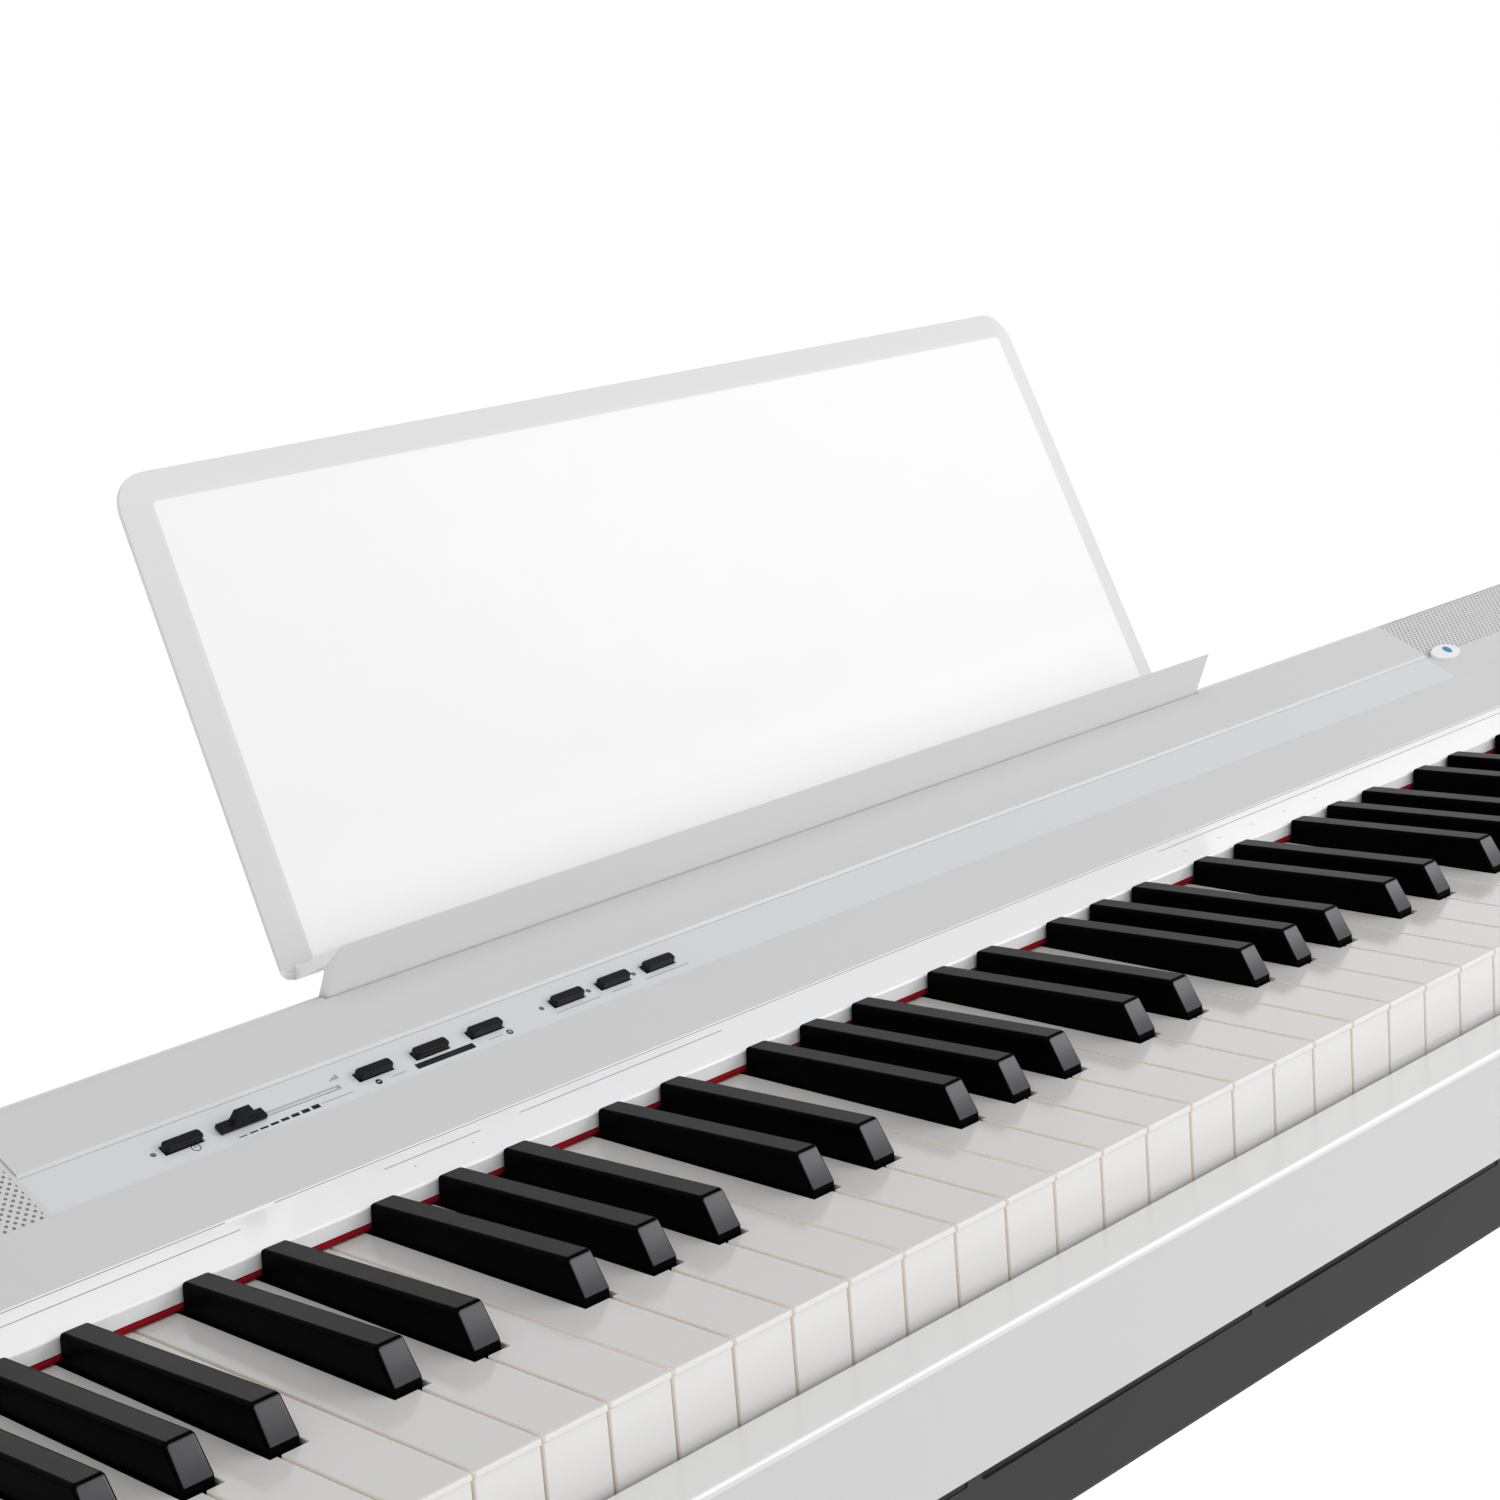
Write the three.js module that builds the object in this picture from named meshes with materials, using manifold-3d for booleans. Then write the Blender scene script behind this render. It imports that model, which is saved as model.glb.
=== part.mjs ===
// An 88-key slab digital piano with a music rest, on a fixed four-board stand.
// Millimetres, +Z up. The keyboard frame used below has x = 0 between E4 and F4, y = 0 on the
// fronts of the white keys and z = 0 on their tops; the whole group is then set on the floor.
import * as THREE from "three";
import { ConvexGeometry } from "three/addons/geometries/ConvexGeometry.js";
import { mergeVertices } from "three/addons/utils/BufferGeometryUtils.js";
import Module from "manifold-3d";

const wasm = await Module();
wasm.setup();

// Keys
const WHITE_PITCH = 23.5;
const WHITE_GAP = 1.1;
const WHITE_COUNT = 52;
const OCTAVE = 7 * WHITE_PITCH;
const KEYS_HALF = (WHITE_COUNT * WHITE_PITCH) / 2;
const KEY_BED = 11;
const SKIRT_BOTTOM = 28;
const SKIRT_THICK = 3;
const NOTCH_FRONT = 48.9;
const NOTCH_HALF = 6.3;
const BLACK_FRONT = 50.6;
const BLACK_FOOT_Z = 2;
const BLACK_CREST_Y = 57;
const BLACK_CREST_Z = 12.6;
const BLACK_BACK = 145.6;
const BLACK_BACK_Z = 9.2;
const BLACK_BASE_HALF = 5.3;
const BLACK_DRAFT = 0.022;
const BLACK_OFFSETS = [21.22, 49.28, 90.58, 117.5, 144.43];
const BLACK_LETTERS = ["c", "d", "f", "g", "a"];
const WHITE_LETTERS = ["c", "d", "e", "f", "g", "a", "b"];
const WHITE_TAIL_END = 224;
const WHITE_SPINE_START = 200;
const BLACK_TAIL_END = 196;
const BLACK_HEEL_START = 172;
const BLACK_HEEL_BOTTOM = 22;
const SPINE_TOP = 14;
const WHITE_PIVOT_Y = 218;
const BLACK_PIVOT_Y = 186;

// Case
const CASE_HALF = 639;
const SKIN = 4;
const FALLBOARD_Y = 146.5;
const LEDGE_Z = 8;
const PANEL_START_Y = 174;
const PANEL_END_Y = 243.5;
const PANEL_SLOPE = 0.474;
const PANEL_ANGLE = Math.atan(PANEL_SLOPE);
const PANEL_END_Z = LEDGE_Z + (PANEL_END_Y - PANEL_START_Y) * PANEL_SLOPE;
const REAR_Y = 258;
const REAR_SHOULDER_Z = 33;
const FRONT_Y = -22;
const SHELF_Z = -24.5;
const SEAM_Z = -64.5;
const CASE_BOTTOM_Z = -95;
const FRONT_RAIL_BACK_Y = -2.2;
const FIT = 0.3;

// Control panel, in the panel's own frame: x along the case, v up its slope, z out of it
const STRIP_X = [-386, 401];
const STRIP_V = [27.4, 46.3];
const STRIP_THICK = 2;
const BUTTON_V = 36.8;
const BUTTON_LENGTH = 14.4;
const BUTTON_DEPTH = 5;
const BUTTON_RISE = 3;
const BUTTONS = {
  power_button: -336.2,
  media_back_button: -259.5,
  media_play_button: -235.3,
  media_next_button: -211.1,
  tone_button: -172.9,
  effect_button: -150.6,
  metronome_button: -128.4,
};
const LAMPS_X = [-346.8, -184.6, -162.4, -140.4];
const LAMP_RADIUS = 0.9;
const SLIDER_X = -314;
const SLIDER_TRAVEL = 31;
const SLIDER_V = 36;
const GRILLES = { left: [-549.5, -389.5], right: [404, 564] };
const GRILLE_V = [27.4, 72.6];
const GRILLE_SLOTS = 7;
const TONGUE_V = 74.4;
const TONGUE_RISE = 21.3;
const REST_THICK = 4;
const REST_HALF = 250;
const REST_BOARD_HEIGHT = 182.6;
const REST_LEAN = THREE.MathUtils.degToRad(24.1);
const REST_CORNER = 14;
const SLOT_DEPTH = 9.4;

// Stand
const KEY_TOP_HEIGHT = 740;
const FLOOR_Z = -KEY_TOP_HEIGHT;
const SIDE_THICK = 18;
const SIDE_OUTER = 636;
const SIDE_INNER = SIDE_OUTER - SIDE_THICK;
const SIDE_Y = [20, 240];
const FOOT_HEIGHT = 26;
const PAD_HEIGHT = 4;
const FOOT_Y = [-50, 310];
const FOOT_X = [603, 639];
const KNOB_X = 585;
const KNOB_Y = [70, 190];
const BRACKET_STEEL = 3;

const material = (color, roughness, metalness = 0) => () =>
  new THREE.MeshStandardMaterial({ color, roughness, metalness });
const whiteShell = material(0xe4e4e5, 0.35);
const blackShell = material(0x2c2c2e, 0.7);
const ivory = material(0xe6e4de, 0.25);
const ebony = material(0x0c0c0d, 0.4);
const redFelt = material(0x8c0d14, 0.95);
const greyFelt = material(0x77787a, 0.95);
const glossBlack = material(0x08080a, 0.12);
const boardGreen = material(0x1f5a38, 0.5);
const rubber = material(0x3a3a3c, 0.85);
const steel = material(0xa8aaad, 0.4, 1);
const cone = material(0x1d1d1f, 0.8);
const laminate = material(0xe9e9e8, 0.4);

const assembly = new THREE.Group();
const panel = new THREE.Group();
panel.position.set(0, PANEL_START_Y, LEDGE_Z);
panel.rotation.x = PANEL_ANGLE;
panel.updateMatrix();
assembly.add(panel);

function part(name, geometry, makeMaterial, parent = assembly) {
  const mesh = new THREE.Mesh(geometry, makeMaterial());
  mesh.name = name;
  parent.add(mesh);
}

function solid(geometry) {
  const bare = new THREE.BufferGeometry();
  bare.setAttribute("position", geometry.getAttribute("position").clone());
  if (geometry.index) bare.setIndex(geometry.index.clone());
  const merged = mergeVertices(bare, 1e-4);
  return new wasm.Manifold(
    new wasm.Mesh({
      numProp: 3,
      vertProperties: merged.attributes.position.array,
      triVerts: new Uint32Array(merged.index.array),
    }),
  );
}

function geometryOf(manifold) {
  const mesh = manifold.getMesh();
  const geometry = new THREE.BufferGeometry();
  geometry.setAttribute("position", new THREE.BufferAttribute(mesh.vertProperties, 3));
  geometry.setIndex(new THREE.BufferAttribute(mesh.triVerts, 1));
  geometry.computeVertexNormals();
  return geometry;
}

function join(geometries) {
  return geometryOf(geometries.map(solid).reduce((whole, piece) => whole.add(piece)));
}

function cut(geometry, tools) {
  return geometryOf(tools.map(solid).reduce((whole, tool) => whole.subtract(tool), solid(geometry)));
}

function box([x0, x1], [y0, y1], [z0, z1]) {
  const geometry = new THREE.BoxGeometry(x1 - x0, y1 - y0, z1 - z0);
  return geometry.translate((x0 + x1) / 2, (y0 + y1) / 2, (z0 + z1) / 2);
}

// A span of the given length about its middle.
function about(middle, length) {
  return [middle - length / 2, middle + length / 2];
}

// The same box on the left or right side of the case.
function mirrored([near, far], side) {
  return side < 0 ? [-far, -near] : [near, far];
}

function post(x, y, [z0, z1], radius, sides = 12) {
  const geometry = new THREE.CylinderGeometry(radius, radius, z1 - z0, sides);
  return geometry.rotateX(Math.PI / 2).translate(x, y, (z0 + z1) / 2);
}

// Corners [a, b, radius]: a corner with a radius becomes an arc of short straight steps.
function rounded(corners, steps = 4) {
  const points = [];
  corners.forEach(([a, b, radius], i) => {
    const here = new THREE.Vector2(a, b);
    if (!radius) {
      points.push(here);
      return;
    }
    const before = new THREE.Vector2(...corners[(i + corners.length - 1) % corners.length]);
    const after = new THREE.Vector2(...corners[(i + 1) % corners.length]);
    const back = before.sub(here).normalize();
    const on = after.sub(here).normalize();
    const half = Math.acos(back.dot(on)) / 2;
    const centre = here.clone().addScaledVector(back.clone().add(on).normalize(), radius / Math.sin(half));
    const start = here.clone().addScaledVector(back, radius / Math.tan(half)).sub(centre);
    const end = here.clone().addScaledVector(on, radius / Math.tan(half)).sub(centre);
    const turn = Math.atan2(start.cross(end), start.dot(end));
    for (let k = 0; k <= steps; k += 1) {
      points.push(start.clone().rotateAround(new THREE.Vector2(), (turn * k) / steps).add(centre));
    }
  });
  return points;
}

// The section of a sheet: the path is its outer face and the wall lies to its right.
function sheet(path, thick) {
  const normals = path.slice(1).map((point, i) => {
    const along = point.clone().sub(path[i]).normalize();
    return new THREE.Vector2(along.y, -along.x);
  });
  const inner = path.map((point, i) => {
    const before = normals[Math.max(i - 1, 0)];
    const after = normals[Math.min(i, normals.length - 1)];
    const mitre = before.clone().add(after).normalize();
    return point.clone().addScaledVector(mitre, thick / mitre.dot(after));
  });
  return [...path, ...inner.reverse()];
}

// Extrudes a section drawn in (y, z) along x.
function alongX(points, [x0, x1]) {
  const geometry = new THREE.ExtrudeGeometry(new THREE.Shape(points), {
    depth: x1 - x0,
    bevelEnabled: false,
  });
  const turn = new THREE.Matrix4().makeBasis(
    new THREE.Vector3(0, 1, 0),
    new THREE.Vector3(0, 0, 1),
    new THREE.Vector3(1, 0, 0),
  );
  return geometry.applyMatrix4(turn).translate(x0, 0, 0);
}

// Extrudes an outline drawn in (x, y) up z.
function alongZ(points, [z0, z1]) {
  const geometry = new THREE.ExtrudeGeometry(new THREE.Shape(points), {
    depth: z1 - z0,
    bevelEnabled: false,
  });
  return geometry.translate(0, 0, z0);
}

function corners(pairs) {
  return pairs.map(([a, b]) => new THREE.Vector2(a, b));
}

// Left edge of a white key; number 0 is A0, and 2 + 7 (n - 1) is the C of octave n.
function whiteLeft(number) {
  return -KEYS_HALF + number * WHITE_PITCH;
}

function octaveLeft(octave) {
  return whiteLeft(2 + 7 * (octave - 1));
}

// Middles of the black keys, from A#0 to A#7.
function blackMiddles() {
  const middles = [octaveLeft(0) + BLACK_OFFSETS[4]];
  for (let octave = 1; octave <= 7; octave += 1) {
    BLACK_OFFSETS.forEach((offset) => middles.push(octaveLeft(octave) + offset));
  }
  return middles;
}

// One white key: a plate notched beside its black keys, with a skirt at its front.
function whiteKey(number) {
  const left = whiteLeft(number) + WHITE_GAP / 2;
  const right = whiteLeft(number + 1) - WHITE_GAP / 2;
  const near = blackMiddles().filter((x) => x + NOTCH_HALF > left && x - NOTCH_HALF < right);
  const cutLeft = near.filter((x) => x < (left + right) / 2).map((x) => x + NOTCH_HALF);
  const cutRight = near.filter((x) => x > (left + right) / 2).map((x) => x - NOTCH_HALF);
  const tailLeft = Math.max(left, ...cutLeft);
  const tailRight = Math.min(right, ...cutRight);
  const outline = [[left, 0], [right, 0]];
  if (tailRight < right) outline.push([right, NOTCH_FRONT], [tailRight, NOTCH_FRONT]);
  outline.push([tailRight, WHITE_TAIL_END], [tailLeft, WHITE_TAIL_END]);
  if (tailLeft > left) outline.push([tailLeft, NOTCH_FRONT], [left, NOTCH_FRONT]);
  return [
    alongZ(corners(outline), [-KEY_BED, 0]),
    box([left, right], [0, SKIRT_THICK], [-SKIRT_BOTTOM, -KEY_BED + 1]),
  ];
}

// One black key: a block that narrows upwards, with an upright foot, a slanted front and a top
// that falls towards the back, then a tail under the case's edge and a heel on its pivot.
function blackKey(x) {
  const profile = [
    [BLACK_FRONT, -KEY_BED], [BLACK_FRONT, BLACK_FOOT_Z], [BLACK_CREST_Y, BLACK_CREST_Z],
    [BLACK_BACK, BLACK_BACK_Z], [BLACK_BACK, -KEY_BED],
  ];
  const halfAt = (z) => BLACK_BASE_HALF - BLACK_DRAFT * (z + KEY_BED);
  const points = [-1, 1].flatMap((side) =>
    profile.map(([y, z]) => new THREE.Vector3(x + side * halfAt(z), y, z)),
  );
  const span = [x - BLACK_BASE_HALF, x + BLACK_BASE_HALF];
  return [
    new ConvexGeometry(points),
    box(span, [BLACK_BACK - 2, BLACK_TAIL_END], [-KEY_BED, -1]),
    box(span, [BLACK_HEEL_START, BLACK_TAIL_END], [-BLACK_HEEL_BOTTOM, -KEY_BED + 1]),
  ];
}

// The octave C4 to B4 has one moulding for each key.
function middleOctave() {
  const first = 2 + 7 * 3;
  WHITE_LETTERS.forEach((letter, i) => part(`key_${letter}4`, join(whiteKey(first + i)), ivory));
  BLACK_LETTERS.forEach((letter, i) => {
    part(`key_${letter}_sharp4`, join(blackKey(octaveLeft(4) + BLACK_OFFSETS[i])), ebony);
  });
}

// Every other key is a tooth of a comb that is moulded with its spine.
function whiteComb(name, first, count) {
  const keys = Array.from({ length: count }, (_, i) => whiteKey(first + i)).flat();
  const span = [whiteLeft(first) + WHITE_GAP / 2, whiteLeft(first + count) - WHITE_GAP / 2];
  const spine = box(span, [WHITE_SPINE_START, WHITE_TAIL_END], [-KEY_BED, -1]);
  part(name, join([...keys, spine]), ivory);
}

function blackComb(name, middles) {
  const span = [middles[0] - BLACK_BASE_HALF, middles.at(-1) + BLACK_BASE_HALF];
  const spine = box(span, [BLACK_HEEL_START, BLACK_TAIL_END], [-BLACK_HEEL_BOTTOM, -SPINE_TOP]);
  part(name, join([...middles.flatMap(blackKey), spine]), ebony);
}

function keyCombs() {
  const blacks = blackMiddles();
  whiteComb("white_keys_a0_to_b1", 0, 9);
  whiteComb("white_keys_c2_to_b3", 9, 14);
  whiteComb("white_keys_c5_to_b6", 30, 14);
  whiteComb("white_keys_c7_to_c8", 44, 8);
  blackComb("black_keys_a0_to_a1", blacks.slice(0, 6));
  blackComb("black_keys_c2_to_a3", blacks.slice(6, 16));
  blackComb("black_keys_c5_to_a6", blacks.slice(21, 31));
  blackComb("black_keys_c7_to_a7", blacks.slice(31));
}

// The folded chassis under the keys, with the two ridges that the keys rock on.
function keybed() {
  const path = corners([
    [14, -60], [14, -24.2], [34, -24.2], [34, -57], [88, -57], [88, -24.2], [132, -24.2],
    [132, -57], [180, -57], [180, -26], [184, -26], [186, -22.6], [188, -26], [194, -26],
    [194, -57], [212, -57], [212, -16], [216, -16], [218, -11.6], [220, -16], [225, -16],
    [225, -60],
  ]);
  const half = KEYS_HALF - 3;
  part("keybed_frame", alongX(sheet(path, 2), [-half, half]), steel);
  part("key_stop_felt", box([-half, half], [16, 32], [-23.9, -20.9]), greyFelt);
  part("key_contact_board", box([-half, half], [90, 130], [-23.9, -22.3]), boardGreen);
  part("key_contact_rubber", box([-half, half], [96, 124], [-22, -17.6]), rubber);
}

// White top shell: fallboard, printed ledge, sloping panel and rear wall in one moulding.
function upperCase() {
  const path = rounded([
    [FALLBOARD_Y, 2.6], [FALLBOARD_Y, LEDGE_Z, 1], [PANEL_START_Y, LEDGE_Z, 6],
    [PANEL_END_Y, PANEL_END_Z, 8], [REAR_Y, REAR_SHOULDER_Z, 5], [REAR_Y, SEAM_Z + FIT],
  ]);
  const shell = alongX(sheet(path, SKIN), [-KEYS_HALF, KEYS_HALF]);
  const placed = (geometry) => geometry.applyMatrix4(panel.matrix);
  const socket = placed(box([-REST_HALF - 5, REST_HALF + 5], [71.5, 80], [-12, -SKIN - 1]));
  const pocket = STRIP_THICK + FIT;
  const grown = ([low, high], margin) => [low - margin, high + margin];
  const grilles = Object.values(GRILLES).flatMap((across) => [
    box(grown(across, FIT), grown(GRILLE_V, FIT), [-2.8, 5]),
    box(grown(across, -3), grown(GRILLE_V, -3), [-8, 5]),
  ]);
  const cuts = [
    box(grown(STRIP_X, FIT), grown(STRIP_V, FIT), [-pocket, 5]),
    box([-354, -112], [30.5, 43.5], [-8, 5]),
    box([-REST_HALF - 1, REST_HALF + 1], [TONGUE_V - 0.4, TONGUE_V + REST_THICK + 0.4], [-SLOT_DEPTH, 8]),
    ...grilles,
  ].map(placed);
  const jackWindow = box([-290, -110], [REAR_Y - 6, REAR_Y + 2], [-45, -15]);
  part("upper_case", cut(join([shell, socket]), [...cuts, jackWindow]), whiteShell);
}

// Jack plate in the rear wall: power inlet, pedal, line and data sockets.
function jackPanel() {
  const plate = box([-289.7, -110.3], [REAR_Y - 5, REAR_Y - 2], [-44.7, -15.3]);
  const barrels = [-270, -240, -210, -180];
  const turned = (x, radius, span) => {
    const geometry = post(0, 0, span, radius, 16);
    return geometry.rotateX(-Math.PI / 2).translate(x, REAR_Y - 2, -30);
  };
  const bodies = barrels.map((x) => turned(x, 7, [-18, -1]));
  const bores = barrels.map((x) => turned(x, 3.4, [-15, 2]));
  const port = box([-148, -134], [REAR_Y - 20, REAR_Y - 3], [-36, -24]);
  const mouth = box([-147, -135], [REAR_Y - 17, REAR_Y], [-34.5, -25.5]);
  part("jack_panel", cut(join([plate, ...bodies, port]), [...bores, mouth]), blackShell);
}

// White key slip in front of the keys: a shelf and the front wall below it.
function frontRail() {
  const path = rounded([[FRONT_Y, SEAM_Z + FIT], [FRONT_Y, SHELF_Z, 3], [FRONT_RAIL_BACK_Y, SHELF_Z]]);
  part("front_rail", alongX(sheet(path, 3.5), [-KEYS_HALF, KEYS_HALF]), whiteShell);
}

// End blocks close the case beside the keys and follow its top line.
function endBlocks() {
  const outline = rounded([
    [FRONT_Y, SEAM_Z + FIT], [REAR_Y, SEAM_Z + FIT], [REAR_Y, REAR_SHOULDER_Z, 5],
    [PANEL_END_Y, PANEL_END_Z, 8], [PANEL_START_Y, LEDGE_Z, 6], [FRONT_Y, LEDGE_Z, 16],
  ]);
  [["end_block_left", -1], ["end_block_right", 1]].forEach(([name, side]) => {
    part(name, alongX(outline, mirrored([KEYS_HALF + FIT, CASE_HALF], side)), whiteShell);
  });
}

// Black bottom tray with ribs under the keybed and the bolt holes for the stand.
function lowerCase() {
  const top = SEAM_Z - FIT;
  const wall = 3.5;
  const path = rounded([
    [REAR_Y - 1, top], [REAR_Y - 1, CASE_BOTTOM_Z, 4], [FRONT_Y + 4, CASE_BOTTOM_Z, 3], [FRONT_Y + 2.5, top],
  ]);
  const inside = CASE_HALF - 1;
  const tray = alongX(sheet(path, wall), [-inside, inside]);
  const ends = [-1, 1].map((side) =>
    box(mirrored([inside - wall, inside], side), [FRONT_Y + 4, REAR_Y - 2], [CASE_BOTTOM_Z + 1, top]),
  );
  const ribs = [26, 216].map((y) =>
    box([-KEYS_HALF, KEYS_HALF], about(y, 4), [CASE_BOTTOM_Z + 1, -60.4]),
  );
  const feet = [-500, 500].flatMap((x) =>
    [10, 226].map((y) => post(x, y, [CASE_BOTTOM_Z - 4, CASE_BOTTOM_Z + 1], 11)),
  );
  const holes = [-KNOB_X, KNOB_X].flatMap((x) =>
    KNOB_Y.map((y) => post(x, y, [CASE_BOTTOM_Z - 1, CASE_BOTTOM_Z + wall + 1], 3.5)),
  );
  part("lower_case", cut(join([tray, ...ends, ...ribs, ...feet]), holes), blackShell);
}

// Main circuit board on the tray floor, with its larger chips and capacitors.
function mainBoard() {
  const board = box([-300, -100], [120, 200], [-84, -82.4]);
  const chips = [-270, -220, -170].map((x) => box(about(x, 22), about(160, 22), [-83, -79.5]));
  const capacitors = [-130, -116].map((x) => post(x, 140, [-83, -68], 5));
  part("main_board", join([board, ...chips, ...capacitors]), boardGreen);
}

function feltStrip() {
  part("key_felt_strip", box([-KEYS_HALF + 1, KEYS_HALF - 1], [FALLBOARD_Y - 0.4, 152], [0.5, 2.2]), redFelt);
}

// Semi-gloss control strip let into the sloping panel, open for its buttons and slider.
function controlStrip() {
  const plate = box(STRIP_X, STRIP_V, [-STRIP_THICK, 0]);
  const through = [-STRIP_THICK - 1, 1];
  const keyways = Object.values(BUTTONS).map((x) =>
    box(about(x, BUTTON_LENGTH + 0.8), about(BUTTON_V, BUTTON_DEPTH + 0.8), through),
  );
  const slot = box([SLIDER_X - 8.5, SLIDER_X + SLIDER_TRAVEL + 9], about(SLIDER_V, 2), through);
  const lamps = LAMPS_X.map((x) => post(x, BUTTON_V, through, LAMP_RADIUS + 0.3, 8));
  part("control_strip", cut(plate, [...keyways, slot, ...lamps]), whiteShell, panel);
}

function buttons() {
  Object.entries(BUTTONS).forEach(([name, x]) => {
    const cap = rounded([
      [BUTTON_V - BUTTON_DEPTH / 2, -3.4], [BUTTON_V + BUTTON_DEPTH / 2, -3.4],
      [BUTTON_V + BUTTON_DEPTH / 2, BUTTON_RISE, 1.2], [BUTTON_V - BUTTON_DEPTH / 2, BUTTON_RISE, 1.2],
    ], 3);
    const flange = box(about(x, BUTTON_LENGTH + 2), about(BUTTON_V, BUTTON_DEPTH + 2), [-3.4, -2.4]);
    const stem = box(about(x, 4), about(BUTTON_V, 3), [-6.5, -3]);
    part(name, join([alongX(cap, about(x, BUTTON_LENGTH)), flange, stem]), glossBlack, panel);
  });
}

function slider() {
  const stalk = box(about(SLIDER_X, 5), about(SLIDER_V, 1.2), [-8, 1]);
  const base = box(about(SLIDER_X, 17.8), about(SLIDER_V, 4.2), [0.3, 1.9]);
  const grip = box(about(SLIDER_X, 6.6), about(SLIDER_V, 3.6), [1, 6.2]);
  part("volume_slider_knob", join([stalk, base, grip]), glossBlack, panel);
  const middle = SLIDER_X + SLIDER_TRAVEL / 2;
  const body = box(about(middle, SLIDER_TRAVEL + 22), about(SLIDER_V, 7), [-12.4, -6.4]);
  const groove = box(about(middle, SLIDER_TRAVEL + 8), about(SLIDER_V, 2), [-9, -6]);
  part("slider_potentiometer", cut(body, [groove]), steel, panel);
}

// Board under the strip: a switch below each button and the lamps soldered on it.
function buttonBoard() {
  const board = box([-354, -112], [28, 45], [-15, -13.4]);
  const switches = Object.values(BUTTONS).map((x) => box(about(x, 6), about(BUTTON_V, 6), [-14, -8]));
  const lamps = LAMPS_X.map((x) => post(x, BUTTON_V, [-14, 0.2], LAMP_RADIUS, 8));
  part("button_board", join([board, ...switches, ...lamps]), boardGreen, panel);
}

function speakers() {
  Object.entries(GRILLES).forEach(([name, [left, right]]) => {
    const plate = box([left, right], GRILLE_V, [-2.5, -0.6]);
    const pitch = (GRILLE_V[1] - GRILLE_V[0]) / (GRILLE_SLOTS + 1);
    const slots = Array.from({ length: GRILLE_SLOTS }, (_, i) =>
      box([left + 5, right - 5], about(GRILLE_V[0] + pitch * (i + 1), 2), [-4, 1]),
    );
    part(`speaker_grille_${name}`, cut(plate, slots), whiteShell, panel);
    const profile = corners([
      [0, -24], [11, -24], [11, -14], [14, -13], [20, -7], [21.4, -7], [21.4, -4.4], [18, -4.4],
      [8, -11], [0, -11],
    ]);
    const driver = new THREE.LatheGeometry(profile, 20).rotateX(Math.PI / 2);
    driver.scale(3.3, 1, 1).translate((left + right) / 2, (GRILLE_V[0] + GRILLE_V[1]) / 2, 0);
    part(`speaker_${name}`, driver, cone, panel);
  });
}

// Music rest: tongue in the case's slot, shelf and leaning board.
function musicRest() {
  const slotFoot = new THREE.Vector3(0, TONGUE_V, -SLOT_DEPTH + 0.4).applyMatrix4(panel.matrix);
  const lip = new THREE.Vector3(0, TONGUE_V, TONGUE_RISE).applyMatrix4(panel.matrix);
  const lean = new THREE.Vector2(Math.sin(REST_LEAN), Math.cos(REST_LEAN));
  const bend = new THREE.Vector2(263, 45.7);
  const path = [
    new THREE.Vector2(slotFoot.y, slotFoot.z), new THREE.Vector2(lip.y, lip.z), bend,
    bend.clone().addScaledVector(lean, REST_CORNER),
  ];
  const bracket = alongX(sheet(path, REST_THICK), [-REST_HALF, REST_HALF]);
  const outline = rounded([
    [-REST_HALF, 0], [REST_HALF, 0], [REST_HALF, REST_BOARD_HEIGHT, REST_CORNER],
    [-REST_HALF, REST_BOARD_HEIGHT, REST_CORNER],
  ]);
  const board = alongZ(outline, [-REST_THICK, 0]).rotateX(Math.PI / 2 - REST_LEAN);
  board.translate(0, bend.x, bend.y);
  part("music_rest", join([bracket, board]), whiteShell);
}

// Stand: two side boards on long feet, a back board, a low stretcher and steel brackets.
function stand() {
  const top = CASE_BOTTOM_Z - FIT;
  const footTop = FLOOR_Z + PAD_HEIGHT + FOOT_HEIGHT;
  const boardHalf = SIDE_INNER - FIT;
  [["left", -1], ["right", 1]].forEach(([name, side]) => {
    const across = mirrored([SIDE_INNER, SIDE_OUTER], side);
    part(`stand_side_${name}`, box(across, SIDE_Y, [footTop + FIT, top]), laminate);
    const beam = alongX(
      rounded([
        [FOOT_Y[0], FLOOR_Z + PAD_HEIGHT], [FOOT_Y[1], FLOOR_Z + PAD_HEIGHT],
        [FOOT_Y[1], footTop, 12], [FOOT_Y[0], footTop, 12],
      ]),
      mirrored(FOOT_X, side),
    );
    const pads = [FOOT_Y[0] + 22, FOOT_Y[1] - 22].map((y) =>
      box(mirrored([FOOT_X[0] + 3, FOOT_X[1] - 3], side), about(y, 36), [FLOOR_Z, FLOOR_Z + PAD_HEIGHT + 1]),
    );
    part(`stand_foot_${name}`, join([beam, ...pads]), laminate);
    bracketAndKnobs(name, side, top);
  });
  part("stand_back_board", box([-boardHalf, boardHalf], [207, 222], [-270, -103]), laminate);
  part("stand_stretcher", box([-boardHalf, boardHalf], [150, 168], [FLOOR_Z + 70, FLOOR_Z + 150]), laminate);
}

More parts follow.
